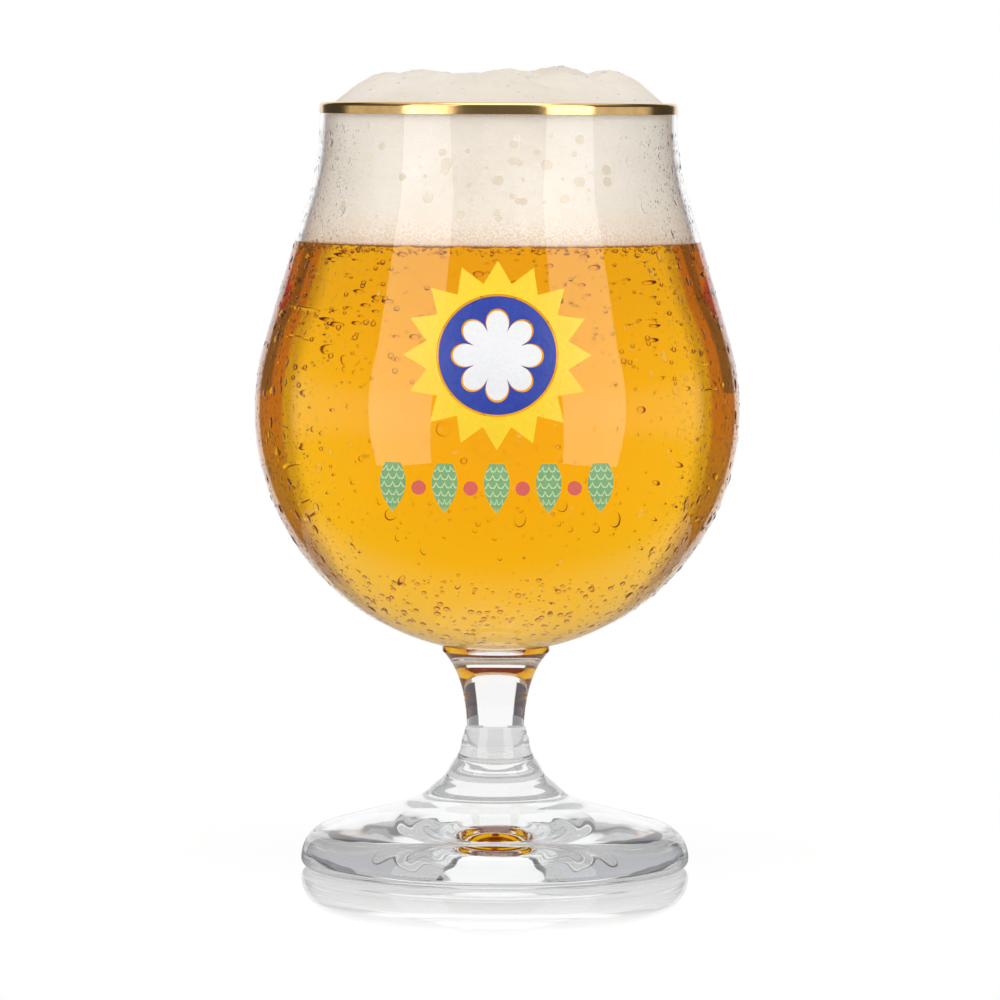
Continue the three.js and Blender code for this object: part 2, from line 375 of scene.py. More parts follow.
class NodeSheet:
    """One node tree with a short way to add nodes, set their inputs and link them."""

    def __init__(self, tree: NodeTree) -> None:
        """Takes the tree to draw in."""
        self.tree = tree

    def feed(self, socket: NodeSocket, value: Value) -> None:
        """Links an input to an output, or sets its own value.

        Args:
            socket: The input.
            value: The output, or the value.
        """
        if isinstance(value, NodeSocket):
            self.tree.links.new(value, socket)
        else:
            socket.default_value = value

    def add(self, kind: str, inputs: dict | None = None, **settings: object) -> Node:
        """Adds a node.

        Args:
            kind: Blender's name of the node type, without ShaderNode.
            inputs: Values or output sockets for its inputs, by name or number.
            settings: Attributes to set on the node first.

        Returns:
            The node.
        """
        node = self.tree.nodes.new(f"ShaderNode{kind}")
        for key, value in settings.items():
            setattr(node, key, value)
        for key, value in (inputs or {}).items():
            self.feed(node.inputs[key], value)
        return node

    def out(self, kind: str, inputs: dict | None = None, **settings: object) -> NodeSocket:
        """First output of a new node, which is added as above."""
        return self.add(kind, inputs, **settings).outputs[0]

    def where(self, kind: str = "Object") -> NodeSocket:
        """Texture coordinates of a kind."""
        return self.add("TexCoord").outputs[kind]

    def parts(self, vector: NodeSocket) -> list[NodeSocket]:
        """X, Y and Z of a vector."""
        return list(self.add("SeparateXYZ", {0: vector}).outputs)

    def math(self, operation: str, *values: Value) -> NodeSocket:
        """Result of a Math node on values or sockets."""
        return self.out("Math", dict(enumerate(values)), operation=operation)

    def mean(self, share: Value, first: Value, second: Value) -> NodeSocket:
        """A mix of two numbers by a share."""
        return self.out("Mix", {0: share, 2: first, 3: second})

    def blend(self, share: Value, first: Value, second: Value) -> NodeSocket:
        """A mix of two colours by a share."""
        return self.add("Mix", {0: share, 6: first, 7: second}, data_type="RGBA").outputs[2]

    def span(self, value: Value, low: float, high: float, to: Span = (0.0, 1.0)) -> NodeSocket:
        """A value mapped smoothly from one span to another and held at its ends."""
        inputs = {0: value, 1: low, 2: high, 3: to[0], 4: to[1]}
        return self.out("MapRange", inputs, interpolation_type="SMOOTHSTEP")

    def ramp(self, share: Value, stops: tuple[tuple[float, Colour | float], ...]) -> NodeSocket:
        """A colour ramp over a share from 0 to 1.

        Args:
            share: The value that picks the colour.
            stops: Places of its stops, and their colours or greys.

        Returns:
            The colour socket.
        """
        node = self.add("ValToRGB", {0: share})
        elements = node.color_ramp.elements
        while len(elements) < len(stops):
            elements.new(1.0)
        for element, (place, colour) in zip(elements, stops):
            element.position = place
            element.color = grey(colour) if isinstance(colour, float) else colour
        return node.outputs[0]


def grey(value: float) -> Colour:
    """A colour without a hue."""
    return (value, value, value, 1.0)


def blank(owner: Material | World) -> NodeSheet:
    """The emptied node sheet of a material or a world.

    Args:
        owner: What the sheet is for.

    Returns:
        The sheet.
    """
    owner.use_nodes = True
    owner.node_tree.nodes.clear()
    return NodeSheet(owner.node_tree)


class Effect(Enum):
    """Surface effects that more than one finish uses, each a shader node group."""

    GRAIN = "fine_grain"
    RIPPLE = "slow_ripple"

    def group(self) -> NodeTree:
        """The node group of this effect, built on first use."""
        made = bpy.data.node_groups.get(self.value)
        return made or (self._grain() if self is Effect.GRAIN else self._ripple())

    def _start(
        self, inputs: dict[str, float], output: str
    ) -> tuple[NodeSheet, dict[str, NodeSocket], NodeSocket]:
        """Starts the group.

        Args:
            inputs: Names and defaults of its number inputs.
            output: Name of its number output.

        Returns:
            The sheet, the given values by name and the socket of the output.
        """
        tree = bpy.data.node_groups.new(self.value, "ShaderNodeTree")
        for name, value in inputs.items():
            socket = tree.interface.new_socket(name, in_out="INPUT", socket_type="NodeSocketFloat")
            socket.default_value = value
        tree.interface.new_socket(output, in_out="OUTPUT", socket_type="NodeSocketFloat")
        given = {socket.name: socket for socket in tree.nodes.new("NodeGroupInput").outputs}
        return NodeSheet(tree), given, tree.nodes.new("NodeGroupOutput").inputs[0]

    def _grain(self) -> NodeTree:
        """Builds fine grain from 0 to 1, with a slower cloudiness under it.

        Returns:
            The group.
        """
        sheet, given, out = self._start({"Scale": 900.0, "Clouds": 0.4}, "Grain")
        where = sheet.where()
        fine = sheet.out("TexNoise", {"Vector": where, "Scale": given["Scale"], "Detail": 3.0})
        slow_scale = sheet.math("MULTIPLY", given["Scale"], CLOUD_SHARE)
        slow = sheet.out("TexNoise", {"Vector": where, "Scale": slow_scale, "Detail": 2.0})
        sheet.feed(out, sheet.span(sheet.mean(given["Clouds"], fine, slow), *GRAIN_RANGE))
        return sheet.tree

    def _ripple(self) -> NodeTree:
        """Builds slow waves of a poured or pressed surface, from 0 to 1.

        Returns:
            The group.
        """
        sheet, given, out = self._start({"Scale": 60.0, "Stretch": 1.0}, "Height")
        stretch = sheet.out("CombineXYZ", {0: 1.0, 1: 1.0, 2: given["Stretch"]})
        scaled = sheet.out("VectorMath", {0: sheet.where(), 1: stretch}, operation="MULTIPLY")
        wave = {"Vector": scaled, "Scale": given["Scale"], "Detail": 1.0, "Roughness": 0.3}
        sheet.feed(out, sheet.out("TexNoise", wave))
        return sheet.tree


class Finish:
    """A material under construction: its sheet, its shader and its output."""

    def __init__(self, name: str) -> None:
        """Starts a material with a bare Principled shader.

        Args:
            name: Name of the material.
        """
        self.material = bpy.data.materials.new(name)
        self.sheet = blank(self.material)
        self.shader = self.sheet.add("BsdfPrincipled")
        self.output = self.sheet.add("OutputMaterial", {0: self.shader.outputs[0]})

    def put(self, **values: Value) -> None:
        """Sets or links inputs of the shader, with underscores for the spaces of their names."""
        for key, value in values.items():
            self.sheet.feed(self.shader.inputs[key.replace("_", " ")], value)

    def effect(self, effect: Effect, **values: float) -> NodeSocket:
        """Output of a shared effect with this finish's own values."""
        return self.sheet.out("Group", values, node_tree=effect.group())

    def grain(self, kind: Span) -> NodeSocket:
        """Grain of a kind: its scale, and the share of its slower clouds."""
        return self.effect(Effect.GRAIN, Scale=kind[0], Clouds=kind[1])

    def clouded(self, kind: Span, low: Colour, high: Colour) -> NodeSocket:
        """Colours the surface by its grain.

        Args:
            kind: Scale and clouds of the grain.
            low: Colour where the grain is low.
            high: Colour where it is high.

        Returns:
            The grain.
        """
        grain = self.grain(kind)
        self.put(Base_Color=self.sheet.blend(grain, low, high))
        return grain

    def roughen(self, share: NodeSocket, rough: Span, start: float = 0.0) -> None:
        """Maps a share, from its start up to 1, to a span of roughness."""
        self.put(Roughness=self.sheet.span(share, start, 1.0, rough))

    def bump(self, height: NodeSocket, depth: float) -> None:
        """Raises the surface by a height from 0 to 1, over a depth in metres."""
        self.put(Normal=self.sheet.out("Bump", {"Height": height, "Distance": depth}))

    def wave(self, scale: float, depth: float, stretch: float = 1.0) -> None:
        """Gives the surface slow waves of a scale and a depth, stretched along Z."""
        self.bump(self.effect(Effect.RIPPLE, Scale=scale, Stretch=stretch), depth)

    def let_lamps_through(self) -> None:
        """Lets the light of lamps pass to what stands behind this clear surface."""
        shadow = self.sheet.add("LightPath").outputs["Is Shadow Ray"]
        shaders = {0: shadow, 1: self.shader.outputs[0], 2: self.sheet.out("BsdfTransparent")}
        self.sheet.feed(self.output.inputs["Surface"], self.sheet.out("MixShader", shaders))

    def absorb(self, colour: Colour, density: float) -> None:
        """Lets the body inside absorb light."""
        inside = self.sheet.out("VolumeAbsorption", {"Color": colour, "Density": density})
        self.sheet.feed(self.output.inputs["Volume"], inside)


def settle(obj: Object, materials: Iterable[Material], slot: str, *nodes: str) -> None:
    """Dresses a finished piece, fixes it to the frame and reports it.

    Args:
        obj: The piece.
        materials: Its materials, in the order of their slots.
        slot: Name of the record's material slot, which only goes into the log.
        nodes: CAD nodes that it stands for.
    """
    for material in materials:
        obj.data.materials.append(material)
    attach(obj, BODY)
    if nodes:
        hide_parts(*nodes)
    log.info("%s: %d faces, slot %s", obj.name, len(obj.data.polygons), slot)


# Finishes


@dataclass(frozen=True)
class ClearGlass:
    """Soda glass with a faint cool tint, slow waves and a trace of handling on its gloss."""

    name: str
    wave_scale: float
    wave_depth: float
    stretch: float = 1.0
    index: float = 1.5
    tint: Colour = (0.965, 0.978, 0.975, 1.0)
    smear: Span = (260.0, 0.8)
    smear_start: float = 0.35
    dull: Span = (0.0, 0.02)

    def build(self) -> Material:
        """Makes this glass.

        Returns:
            The material.
        """
        finish = Finish(self.name)
        smear = finish.clouded(self.smear, WHITE, self.tint)
        finish.put(IOR=self.index, Transmission_Weight=1.0)
        finish.roughen(smear, self.dull, self.smear_start)
        finish.wave(self.wave_scale, self.wave_depth, self.stretch)
        finish.let_lamps_through()
        return finish.material


class Glass(Enum):
    """The glasses of the goblet; the wetted one bends light as glass does under beer."""

    BOWL = ClearGlass("bowl_glass", 70.0, 0.02 * MM, tint=(0.99, 0.995, 0.993, 1.0))
    WETTED = ClearGlass("wetted_glass", 70.0, 0.02 * MM, index=1.119, tint=(0.99, 0.995, 0.993, 1.0))
    STEM = ClearGlass("stem_glass", 130.0, 0.02 * MM, stretch=0.5)
    FOOT = ClearGlass("foot_glass", 110.0, 0.1 * MM, tint=(0.925, 0.955, 0.95, 1.0))


@dataclass(frozen=True)
class FusedJoint:
    """The inside of a weld, where glass goes on into glass and nothing shows."""

    def build(self) -> Material:
        """Makes a skin that light passes straight through.

        Returns:
            The material.
        """
        finish = Finish("fused_joint")
        finish.put(Base_Color=WHITE, Alpha=0.0)
        return finish.material


@dataclass(frozen=True)
class FiredGold:
    """Bright gold fired on glass, a little clouded and thin in places."""

    deep: Colour = (0.80, 0.49, 0.18, 1.0)
    bright: Colour = (0.96, 0.63, 0.26, 1.0)
    cloud: Span = (700.0, 0.6)
    rough: Span = (0.2, 0.1)
    wave_scale: float = 420.0
    wave_depth: float = 0.02 * MM

    def build(self) -> Material:
        """Makes the gilding.

        Returns:
            The material.
        """
        finish = Finish("fired_gold")
        cloud = finish.clouded(self.cloud, self.deep, self.bright)
        finish.put(Metallic=1.0)
        finish.roughen(cloud, self.rough)
        finish.wave(self.wave_scale, self.wave_depth)
        return finish.material


@dataclass(frozen=True)
class PaleBeer:
    """Clear amber beer with painted shade that darkens it towards the head; the wetted glass does its
    bending.
    """

    low: Colour = (1.0, 0.97, 0.86, 1.0)
    high: Colour = (0.88, 0.75, 0.5, 1.0)
    shade_from: float = 0.55
    absorbed: Colour = (1.0, 0.872, 0.0, 1.0)
    density: float = 75.0

    def build(self, bottom: float, top: float) -> Material:
        """The material of the beer.

        Args:
            bottom: Lowest point of the fill.
            top: Level of the fill.

        Returns:
            The material.
        """
        finish = Finish("pale_beer")
        height = finish.sheet.parts(finish.sheet.where())[2]
        # Painted shade: the colour goes from low to high towards the head, though the beer is the same
        # all through.
        rise = finish.sheet.span(height, between((bottom, top), self.shade_from), top)
        finish.put(Base_Color=finish.sheet.blend(rise, self.low, self.high))
        finish.put(Roughness=0.0, IOR=1.0, Transmission_Weight=1.0)
        finish.absorb(self.absorbed, self.density)
        return finish.material


@dataclass(frozen=True)
class GasBubble:
    """A bubble in the beer, seen by how it bends the light that passes it."""

    warm: Colour = (1.0, 0.86, 0.55, 1.0)
    clear: Colour = (1.0, 0.96, 0.82, 1.0)
    cloud: Span = (300.0, 0.7)
    index: float = 1.3

    def build(self) -> Material:
        """Makes the skin of the bubbles.

        Returns:
            The material.
        """
        finish = Finish("gas_bubble")
        finish.clouded(self.cloud, self.warm, self.clear)
        finish.put(Roughness=0.0, IOR=self.index, Transmission_Weight=1.0)
        finish.let_lamps_through()
        return finish.material


@dataclass(frozen=True)
class HeadFoam:
    """Fine cream foam: tight cells, wetter and coarser towards the beer."""

    cream: Colour = (0.80, 0.735, 0.645, 1.0)
    shade: Colour = (0.72, 0.64, 0.54, 1.0)
    wet: Colour = (0.60, 0.43, 0.30, 1.0)
    soaked: Colour = (0.42, 0.19, 0.05, 1.0)
    cell: float = 0.45 * MM
    fineness: float = 2.4
    dry_height: float = 9 * MM
    damp_pores: Span = (0.75, 0.3)
    damp_share: float = 0.8
    stain_height: Span = (2.4 * MM, -0.2 * MM)
    stain_share: float = 0.7
    soak_height: Span = (0.15 * MM, -0.3 * MM)
    soak_climb: float = 0.5 * MM
    cloud: Span = (500.0, 0.85)
    rough: Span = (0.75, 0.55)
    sheen: float = 0.3
    pore_depth: float = 0.12 * MM

    def build(self, level: float) -> Material:
        """The material of the head.

        Args:
            level: Level of the beer under it.

        Returns:
            The material.
        """
        finish = Finish("head_foam")
        sheet = finish.sheet
        where = sheet.where()
        height = sheet.parts(where)[2]
        wetness = sheet.span(height, level, level + self.dry_height, (1.0, 0.0))
        cells, fine = (
            sheet.math("SUBTRACT", 1.0, sheet.out("TexVoronoi", {"Vector": where, "Scale": scale}))
            for scale in (1 / self.cell, self.fineness / self.cell)
        )
        pores = sheet.mean(wetness, fine, cells)
        cloud = finish.grain(self.cloud)
        dry = sheet.blend(cloud, self.shade, self.cream)
        damp = sheet.math("MULTIPLY", wetness, sheet.span(pores, *self.damp_pores))
        moist = sheet.blend(sheet.math("MULTIPLY", damp, self.damp_share), dry, self.wet)
        stained = (level + offset for offset in self.stain_height)
        moist = sheet.blend(sheet.span(height, *stained, (0.0, self.stain_share)), moist, self.wet)
        uneven = sheet.math("MULTIPLY_ADD", pores, -self.soak_climb, height)
        lowest = sheet.span(uneven, *(level + offset for offset in self.soak_height))
        finish.put(Base_Color=sheet.blend(lowest, moist, self.soaked), Specular_IOR_Level=self.sheen)
        finish.roughen(cloud, self.rough)
        finish.bump(pores, self.pore_depth)
        return finish.material


@dataclass(frozen=True)
class ShadedFoamCell:
    """The thin skin of a large cell in the head, painted a darker beige for the shade inside it."""

    deep: Colour = (0.57, 0.48, 0.36, 1.0)
    pale: Colour = (0.66, 0.57, 0.44, 1.0)
    cloud: Span = (900.0, 0.7)
    rough: Span = (0.3, 0.5)

    def build(self) -> Material:
        """Makes the skin of the large cells.

        Returns:
            The material.
        """
        finish = Finish("foam_cell")
        # Painted shade: the cells are a darker beige than the foam round them.
        finish.roughen(finish.clouded(self.cloud, self.deep, self.pale), self.rough)
        return finish.material


@dataclass(frozen=True)
class Enamel:
    """Screen-printed enamel: an even coat with a fine tooth and slightly thin patches."""

    name: str
    colour: Colour
    thin: Colour
    line: Colour | None = None
    scale_rows: float = 6.0
    scale_columns: float = 3.0
    scale_arch: float = 2.6
    line_edge: Span = (0.2, 0.06)
    tooth: Span = (1400.0, 0.5)
    rough: Span = (0.42, 0.28)
    tooth_depth: float = 0.03 * MM

    def scales(self, sheet: NodeSheet) -> NodeSocket:
        """Mask of the outlines of overlapping scales, from the artwork's own UV map.

        Args:
            sheet: The material's sheet.

        Returns:
            A value that is 1 on the lines.
        """
        across, up, _ = sheet.parts(sheet.where("UV"))
        row = sheet.math("MULTIPLY", up, self.scale_rows)
        column = sheet.math("MULTIPLY", across, self.scale_columns)
        stagger = sheet.math("MULTIPLY_ADD", sheet.math("FLOOR", row), 0.5, column)
        off = sheet.math("SUBTRACT", sheet.math("FRACT", stagger), 0.5)
        arch = sheet.math("MULTIPLY", sheet.math("MULTIPLY", off, off), self.scale_arch)
        edge = sheet.math("ABSOLUTE", sheet.math("SUBTRACT", sheet.math("FRACT", row), arch))
        return sheet.span(edge, *self.line_edge)

    def build(self) -> Material:
        """Makes this enamel.

        Returns:
            The material.
        """
        finish = Finish(self.name)
        tooth = finish.grain(self.tooth)
        coat = finish.sheet.blend(tooth, self.thin, self.colour)
        if self.line:
            coat = finish.sheet.blend(self.scales(finish.sheet), coat, self.line)
        finish.put(Base_Color=coat)
        finish.roughen(tooth, self.rough)
        finish.bump(tooth, self.tooth_depth)
        return finish.material


class PrintColour(Enum):
    """Enamels of the print by the record's slot names: full, thin and outline colours."""

    yellow_enamel = ((0.95, 0.66, 0.03, 1.0), (0.90, 0.59, 0.03, 1.0))
    blue_enamel = ((0.028, 0.052, 0.34, 1.0), (0.035, 0.065, 0.38, 1.0))
    white_enamel = ((0.84, 0.84, 0.85, 1.0), (0.77, 0.78, 0.80, 1.0))
    green_enamel = ((0.24, 0.47, 0.22, 1.0), (0.19, 0.39, 0.17, 1.0), (0.62, 0.74, 0.40, 1.0))
    red_enamel = ((0.76, 0.14, 0.11, 1.0), (0.68, 0.12, 0.09, 1.0))


@dataclass(frozen=True)
class Dew:
    """Condensed water standing on the cold glass."""

    index: float = 1.33
    wave_scale: float = 300.0
    wave_depth: float = 0.03 * MM

    def build(self) -> Material:
        """Makes the skin of the drops.

        Returns:
            The material.
        """
        finish = Finish("dew")
        finish.put(Base_Color=WHITE, Roughness=0.0, IOR=self.index, Transmission_Weight=1.0)
        finish.wave(self.wave_scale, self.wave_depth)
        finish.let_lamps_through()
        return finish.material


# The goblet

# Material slots of a glass piece: its skin, its welds and the wall under the beer
SKIN, JOINT, WETTED = range(3)


@dataclass
class WallLine:
    """One face of the bowl's wall: a ball, a straight shoulder and a flare up to the lip."""

    ball: Circle
    flare: Circle
    lean: float = field(init=False)

    def __post_init__(self) -> None:
        """Works out the angle at which the shoulder leaves the ball."""
        across = self.flare.r - self.ball.r
        up = self.flare.z - self.ball.z
        spread = math.acos((self.ball.radius + self.flare.radius) / math.hypot(across, up))
        self.lean = math.atan2(up, across) - spread

    def moved_out(self, by: float) -> "WallLine":
        """The same face, a little further from the axis."""
        return WallLine(self.ball.grown(by), self.flare.grown(-by))

    def at(self, z: float) -> tuple[float, float]:
        """Where the face is at a height.

        Args:
            z: The height.

        Returns:
            Its radius there, and the angle of its normal above the horizon.
        """
        low = self.ball.at(self.lean)
        high = self.flare.at(self.lean + math.pi)
        if z <= low.z:
            angle = math.asin(max(-1.0, (z - self.ball.z) / self.ball.radius))
            return self.ball.radius * math.cos(angle), angle
        if z <= high.z:
            return between((low.x, high.x), (z - low.z) / (high.z - low.z)), self.lean
        angle = math.asin(min(0.0, (z - self.flare.z) / self.flare.radius))
        return self.flare.r - self.flare.radius * math.cos(angle), -angle

    def spot(self, turn: float, z: float, out: float = 0.0) -> tuple[Vector, Vector]:
        """A spot on the face, with the turn counted from the front.

        Args:
            turn: Angle about the axis from -Y towards +X.
            z: Height of the spot.
            out: How far it stands off the face.

        Returns:
            The spot and the normal there.
        """
        radius, angle = self.at(z)
        normal = ahead(turn) * math.cos(angle) + Vector((0, 0, math.sin(angle)))
        return ahead(turn) * radius + Vector((0, 0, z)) + normal * out, normal


@dataclass
class Bowl:
    """The blown bowl and the gilding on its lip."""

    radius: float = 45.5 * MM
    belly_wall: float = 1.9 * MM
    floor: float = 3.4 * MM
    rim_radius: float = 33.5 * MM
    rim_wall: float = 1.5 * MM
    rim_straight: float = 3.6 * MM
    flare_radius: float = 47.0 * MM
    collar_radius: float = 10.1 * MM
    band_height: float = 2.1 * MM
    band_thickness: float = 0.06 * MM
    band_sink: float = 0.03 * MM
    steps: int = 180
    resolution: int = 16
    band_resolution: int = 8

    def __post_init__(self) -> None:
        """Takes the bowl's place from the frame and draws its two faces."""
        self.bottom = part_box("bowl")[0].z
        self.rim_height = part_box("bowl")[1].z
        self.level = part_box("beer")[1].z
        half_wall = self.rim_wall / 2
        self.lip = Circle(self.rim_radius - half_wall, self.rim_height - half_wall, half_wall)
        reach = self.rim_radius + self.flare_radius
        flare = Circle(reach, self.rim_height - self.rim_straight, self.flare_radius)
        self.outside = WallLine(Circle(0, self.bottom + self.radius, self.radius), flare)
        hollow = self.radius - self.belly_wall
        ball = Circle(0, self.bottom + self.floor + hollow, hollow)
        self.inside = WallLine(ball, flare.grown(self.rim_wall))

    def build(self, materials: list[Material]) -> Object:
        """Turns the wall as one closed body.

        Args:
            materials: Those of the wall, of the weld and of the inside up to the beer's level.

        Returns:
            The bowl.
        """
        outside, inside = self.outside, self.inside
        profile = HalfProfile(0, self.bottom)
        profile.arc(outside.ball, -QUARTER, outside.lean)
        profile.arc(outside.flare, outside.lean + math.pi, math.pi)
        profile.arc(self.lip, 0, math.pi)
        profile.arc(inside.flare, math.pi, inside.lean + math.pi)
        profile.line(inside.at(self.level)[0], self.level)
        profile.arc(inside.ball, inside.lean, -QUARTER)
        obj = profile.turned("goblet_bowl", self.steps, self.resolution)
        middle = Vector((0, 0, inside.ball.z))
        for face in obj.data.polygons:
            if face.center.z < self.level and face.normal.dot(face.center - middle) < 0:
                face.material_index = WETTED
            elif face.normal.z < 0 and face.center.xy.length < self.collar_radius:
                welded = face.center.z < self.bottom + self.floor / 2
                face.material_index = JOINT if welded else SKIN
        shade(obj)
        settle(obj, materials, "glass", "bowl")
        return obj

    def gild(self, gold: Material) -> None:
        """Turns the gold band on the outside of the lip and over its crown.

        Args:
            gold: Material of the band.
        """
        skin = self.lip.grown(self.band_thickness)
        under = self.lip.grown(-self.band_sink)
        low = self.rim_height - self.band_height
        profile = HalfProfile(under.r + under.radius, low)
        profile.line(skin.r + skin.radius - self.band_thickness / 2, low)
        profile.line(skin.r + skin.radius, low + self.band_thickness / 2)
        profile.arc(skin, 0, QUARTER)
        profile.line(skin.r - self.band_thickness / 2, skin.z + under.radius)
        profile.arc(under, QUARTER, 0)
        profile.line(under.r + under.radius, low)
        obj = profile.turned("gilded_lip", self.steps, self.band_resolution)
        shade(obj)
        settle(obj, [gold], "gilding", "rim_band")


@dataclass
class Stand:
    """The stem and the pressed foot under the bowl."""

    edge_radius: float = 6.4 * MM
    heel_radius: float = 1.6 * MM
    rest_width: float = 2.5 * MM
    hollow_depth: float = 3.2 * MM
    slope: float = math.radians(15.6)
    neck_radius: float = 5.7 * MM
    sweep_radius: float = 17.0 * MM
    sweep_lead: float = 1.5 * MM
    sweep_knots: int = 48
    ring_count: int = 4
    ring_depth: float = 0.22 * MM
    waist_radius: float = 5.4 * MM
    waist_lean: float = 0.35 * MM
    draw_length: float = 7.6 * MM
    collar_depth: float = 1.0 * MM
    collar_flare: float = 2.4 * MM
    cup_share: float = 0.99
    cup_upward: float = 0.5
    steps: int = 160
    foot_resolution: int = 14
    stem_resolution: int = 24

    def __post_init__(self) -> None:
        """Takes the foot's size from the frame."""
        self.foot_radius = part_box("foot")[1].x
        self.foot_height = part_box("foot")[1].z

    def neck(self, profile: HalfProfile) -> None:
        """Adds the sweep from the disc up to the neck, with its shallow rings.

        Args:
            profile: The foot's profile, drawn up to the edge of the disc.
        """
        reach = self.neck_radius + math.sqrt(self.sweep_radius**2 - self.sweep_lead**2)
        turn = (-QUARTER - self.slope, math.asin(self.sweep_lead / self.sweep_radius) - math.pi)
        for knot in range(self.sweep_knots + 1):
            along = knot / self.sweep_knots
            ring = self.ring_depth * math.sin(math.pi * self.ring_count * along) ** 2
            sweep = Circle(reach, self.foot_height + self.sweep_lead, self.sweep_radius - ring)
            point = sweep.at(between(turn, along))
            profile.line(point.x, point.z)

    def build_foot(self, materials: list[Material]) -> None:
        """Turns the foot: a hollow underside, a bullnose edge and the swept neck.

        Args:
            materials: Those of the foot and of its weld.
        """
        heel = Circle(self.foot_radius - self.heel_radius, self.heel_radius, self.heel_radius)
        edge = Circle(self.foot_radius - self.edge_radius, self.heel_radius, self.edge_radius)
        width = heel.r - self.rest_width
        hollow_radius = (width**2 + self.hollow_depth**2) / (2 * self.hollow_depth)
        hollow = Circle(0, self.hollow_depth - hollow_radius, hollow_radius)
        profile = HalfProfile(0, self.hollow_depth)
        profile.arc(hollow, QUARTER, math.acos(width / hollow_radius))
        profile.arc(heel, -QUARTER, 0)
        profile.arc(edge, 0, QUARTER - self.slope)
        self.neck(profile)
        profile.line(self.waist_radius, self.foot_height).line(0, self.foot_height)
        obj = profile.turned("goblet_foot", self.steps, self.foot_resolution)
        for face in obj.data.polygons:
            on_top = face.center.z > self.foot_height - MERGE_DISTANCE
            welded = on_top and face.center.xy.length < self.waist_radius
            face.material_index = JOINT if welded else SKIN
        shade(obj)
        settle(obj, materials, "glass", "foot")

    def build_stem(self, bowl: Bowl, materials: list[Material]) -> None:
        """Turns the stem from the neck to the cup that the bowl sits in.

        Args:
            bowl: The bowl it carries.
            materials: Those of the stem and of its welds.
        """
        ball = bowl.outside.ball
        collar = bowl.collar_radius
        cup_angle = -math.acos(collar / ball.radius)
        collar_z = ball.at(cup_angle).z - self.collar_depth
        profile = HalfProfile(0, self.foot_height).line(self.waist_radius, self.foot_height)
        profile.curve(
            Vector((self.waist_radius + self.waist_lean, 0, self.foot_height + self.draw_length)),
            Vector((collar - self.collar_flare, 0, collar_z - self.collar_flare)),
            Vector((collar, 0, collar_z)),
        )
        profile.arc(ball, cup_angle, -QUARTER)
        obj = profile.turned("goblet_stem", self.steps, self.stem_resolution)
        for face in obj.data.polygons:
            in_cup = face.normal.z > self.cup_upward and face.center.xy.length < collar * self.cup_share
            on_foot = face.center.z < self.foot_height + MERGE_DISTANCE
            face.material_index = JOINT if in_cup or on_foot else SKIN
        shade(obj)
        settle(obj, materials, "glass", "stem")


@dataclass(frozen=True)
class BubbleBand:
    """A stretch of the beer with bubbles: how many, how far under the level, how large and deep."""

    count: int
    under: Span
    size: Span
    depth: float = 0.0


@dataclass
class Fill:
    """The beer and the bubbles in it."""

    bowl: Bowl
    clearance: float = 0.03 * MM
    steps: int = 180
    resolution: int = 16
    seed: int = 33
    flatness: float = 0.92
    wall_gap: float = 1.15
    bands: tuple[BubbleBand, ...] = (
        BubbleBand(700, (0.35 * MM, 1.4 * MM), (0.14 * MM, 0.42 * MM)),
        BubbleBand(520, (1.4 * MM, 26 * MM), (0.22 * MM, 0.62 * MM), 3 * MM),
        BubbleBand(220, (20 * MM, 52 * MM), (0.14 * MM, 0.42 * MM), 4 * MM),
        BubbleBand(760, (60 * MM, 72.4 * MM), (0.16 * MM, 0.64 * MM), 1.5 * MM),
    )

    def build_beer(self, beer: Material) -> None:
        """Turns the beer against the wall.

        Args:
            beer: Its material.
        """
        level = self.bowl.level
        wall = self.bowl.inside.moved_out(-self.clearance)
        profile = HalfProfile(0, wall.ball.z - wall.ball.radius)
        profile.arc(wall.ball, -QUARTER, wall.lean)
        profile.line(wall.at(level)[0], level).line(0, level)
        obj = profile.turned("beer_fill", self.steps, self.resolution)
        shade(obj)
        settle(obj, [beer], "beer", "beer")

    def bubble_model(self) -> Object:
        """Models a gas bubble, a small ball that is flattened a little.

        Returns:
            The model, of radius 1.
        """
        obj = started("bubble", bpy.ops.mesh.primitive_ico_sphere_add, subdivisions=2, radius=1.0)
        with editing(obj):
            bpy.ops.transform.resize(value=(1.0, 1.0, self.flatness))
        shade(obj, SMOOTH)
        return obj

    def bubble_places(self) -> Iterator[Matrix]:
        """Draws where the bubbles are.

        Yields:
            The place of each bubble, with its radius as the scale.
        """
        rng = random.Random(self.seed)
        for band in self.bands:
            for _ in range(band.count):
                radius = between(band.size, rng.random() ** 2)
                turn = rng.uniform(-math.pi, math.pi)
                z = self.bowl.level - rng.uniform(*band.under)
                inset = self.wall_gap * radius + band.depth * rng.random() ** 3
                spot, _ = self.bowl.inside.spot(turn, z, -inset)
                yield Matrix.Translation(spot) @ Matrix.Scale(radius, 4)

    def build_bubbles(self, gas: Material) -> None:
        """Sets the bubbles into the beer."""
        obj = strewn(self.bubble_model(), self.bubble_places(), "beer_bubbles")
        settle(obj, [gas], "beer")


@dataclass(frozen=True)
class Lump:
    """A soft lump on the head, in millimetres: where it is, how high it rises, how far it spreads."""

    x: float
    y: float
    rise: float
    spread: float

    def height(self, x: float, y: float) -> float:
        """How much it adds at a place, in metres."""
        away = math.hypot(x - self.x * MM, y - self.y * MM) / (self.spread * MM)
        return self.rise * MM * math.exp(-away * away)


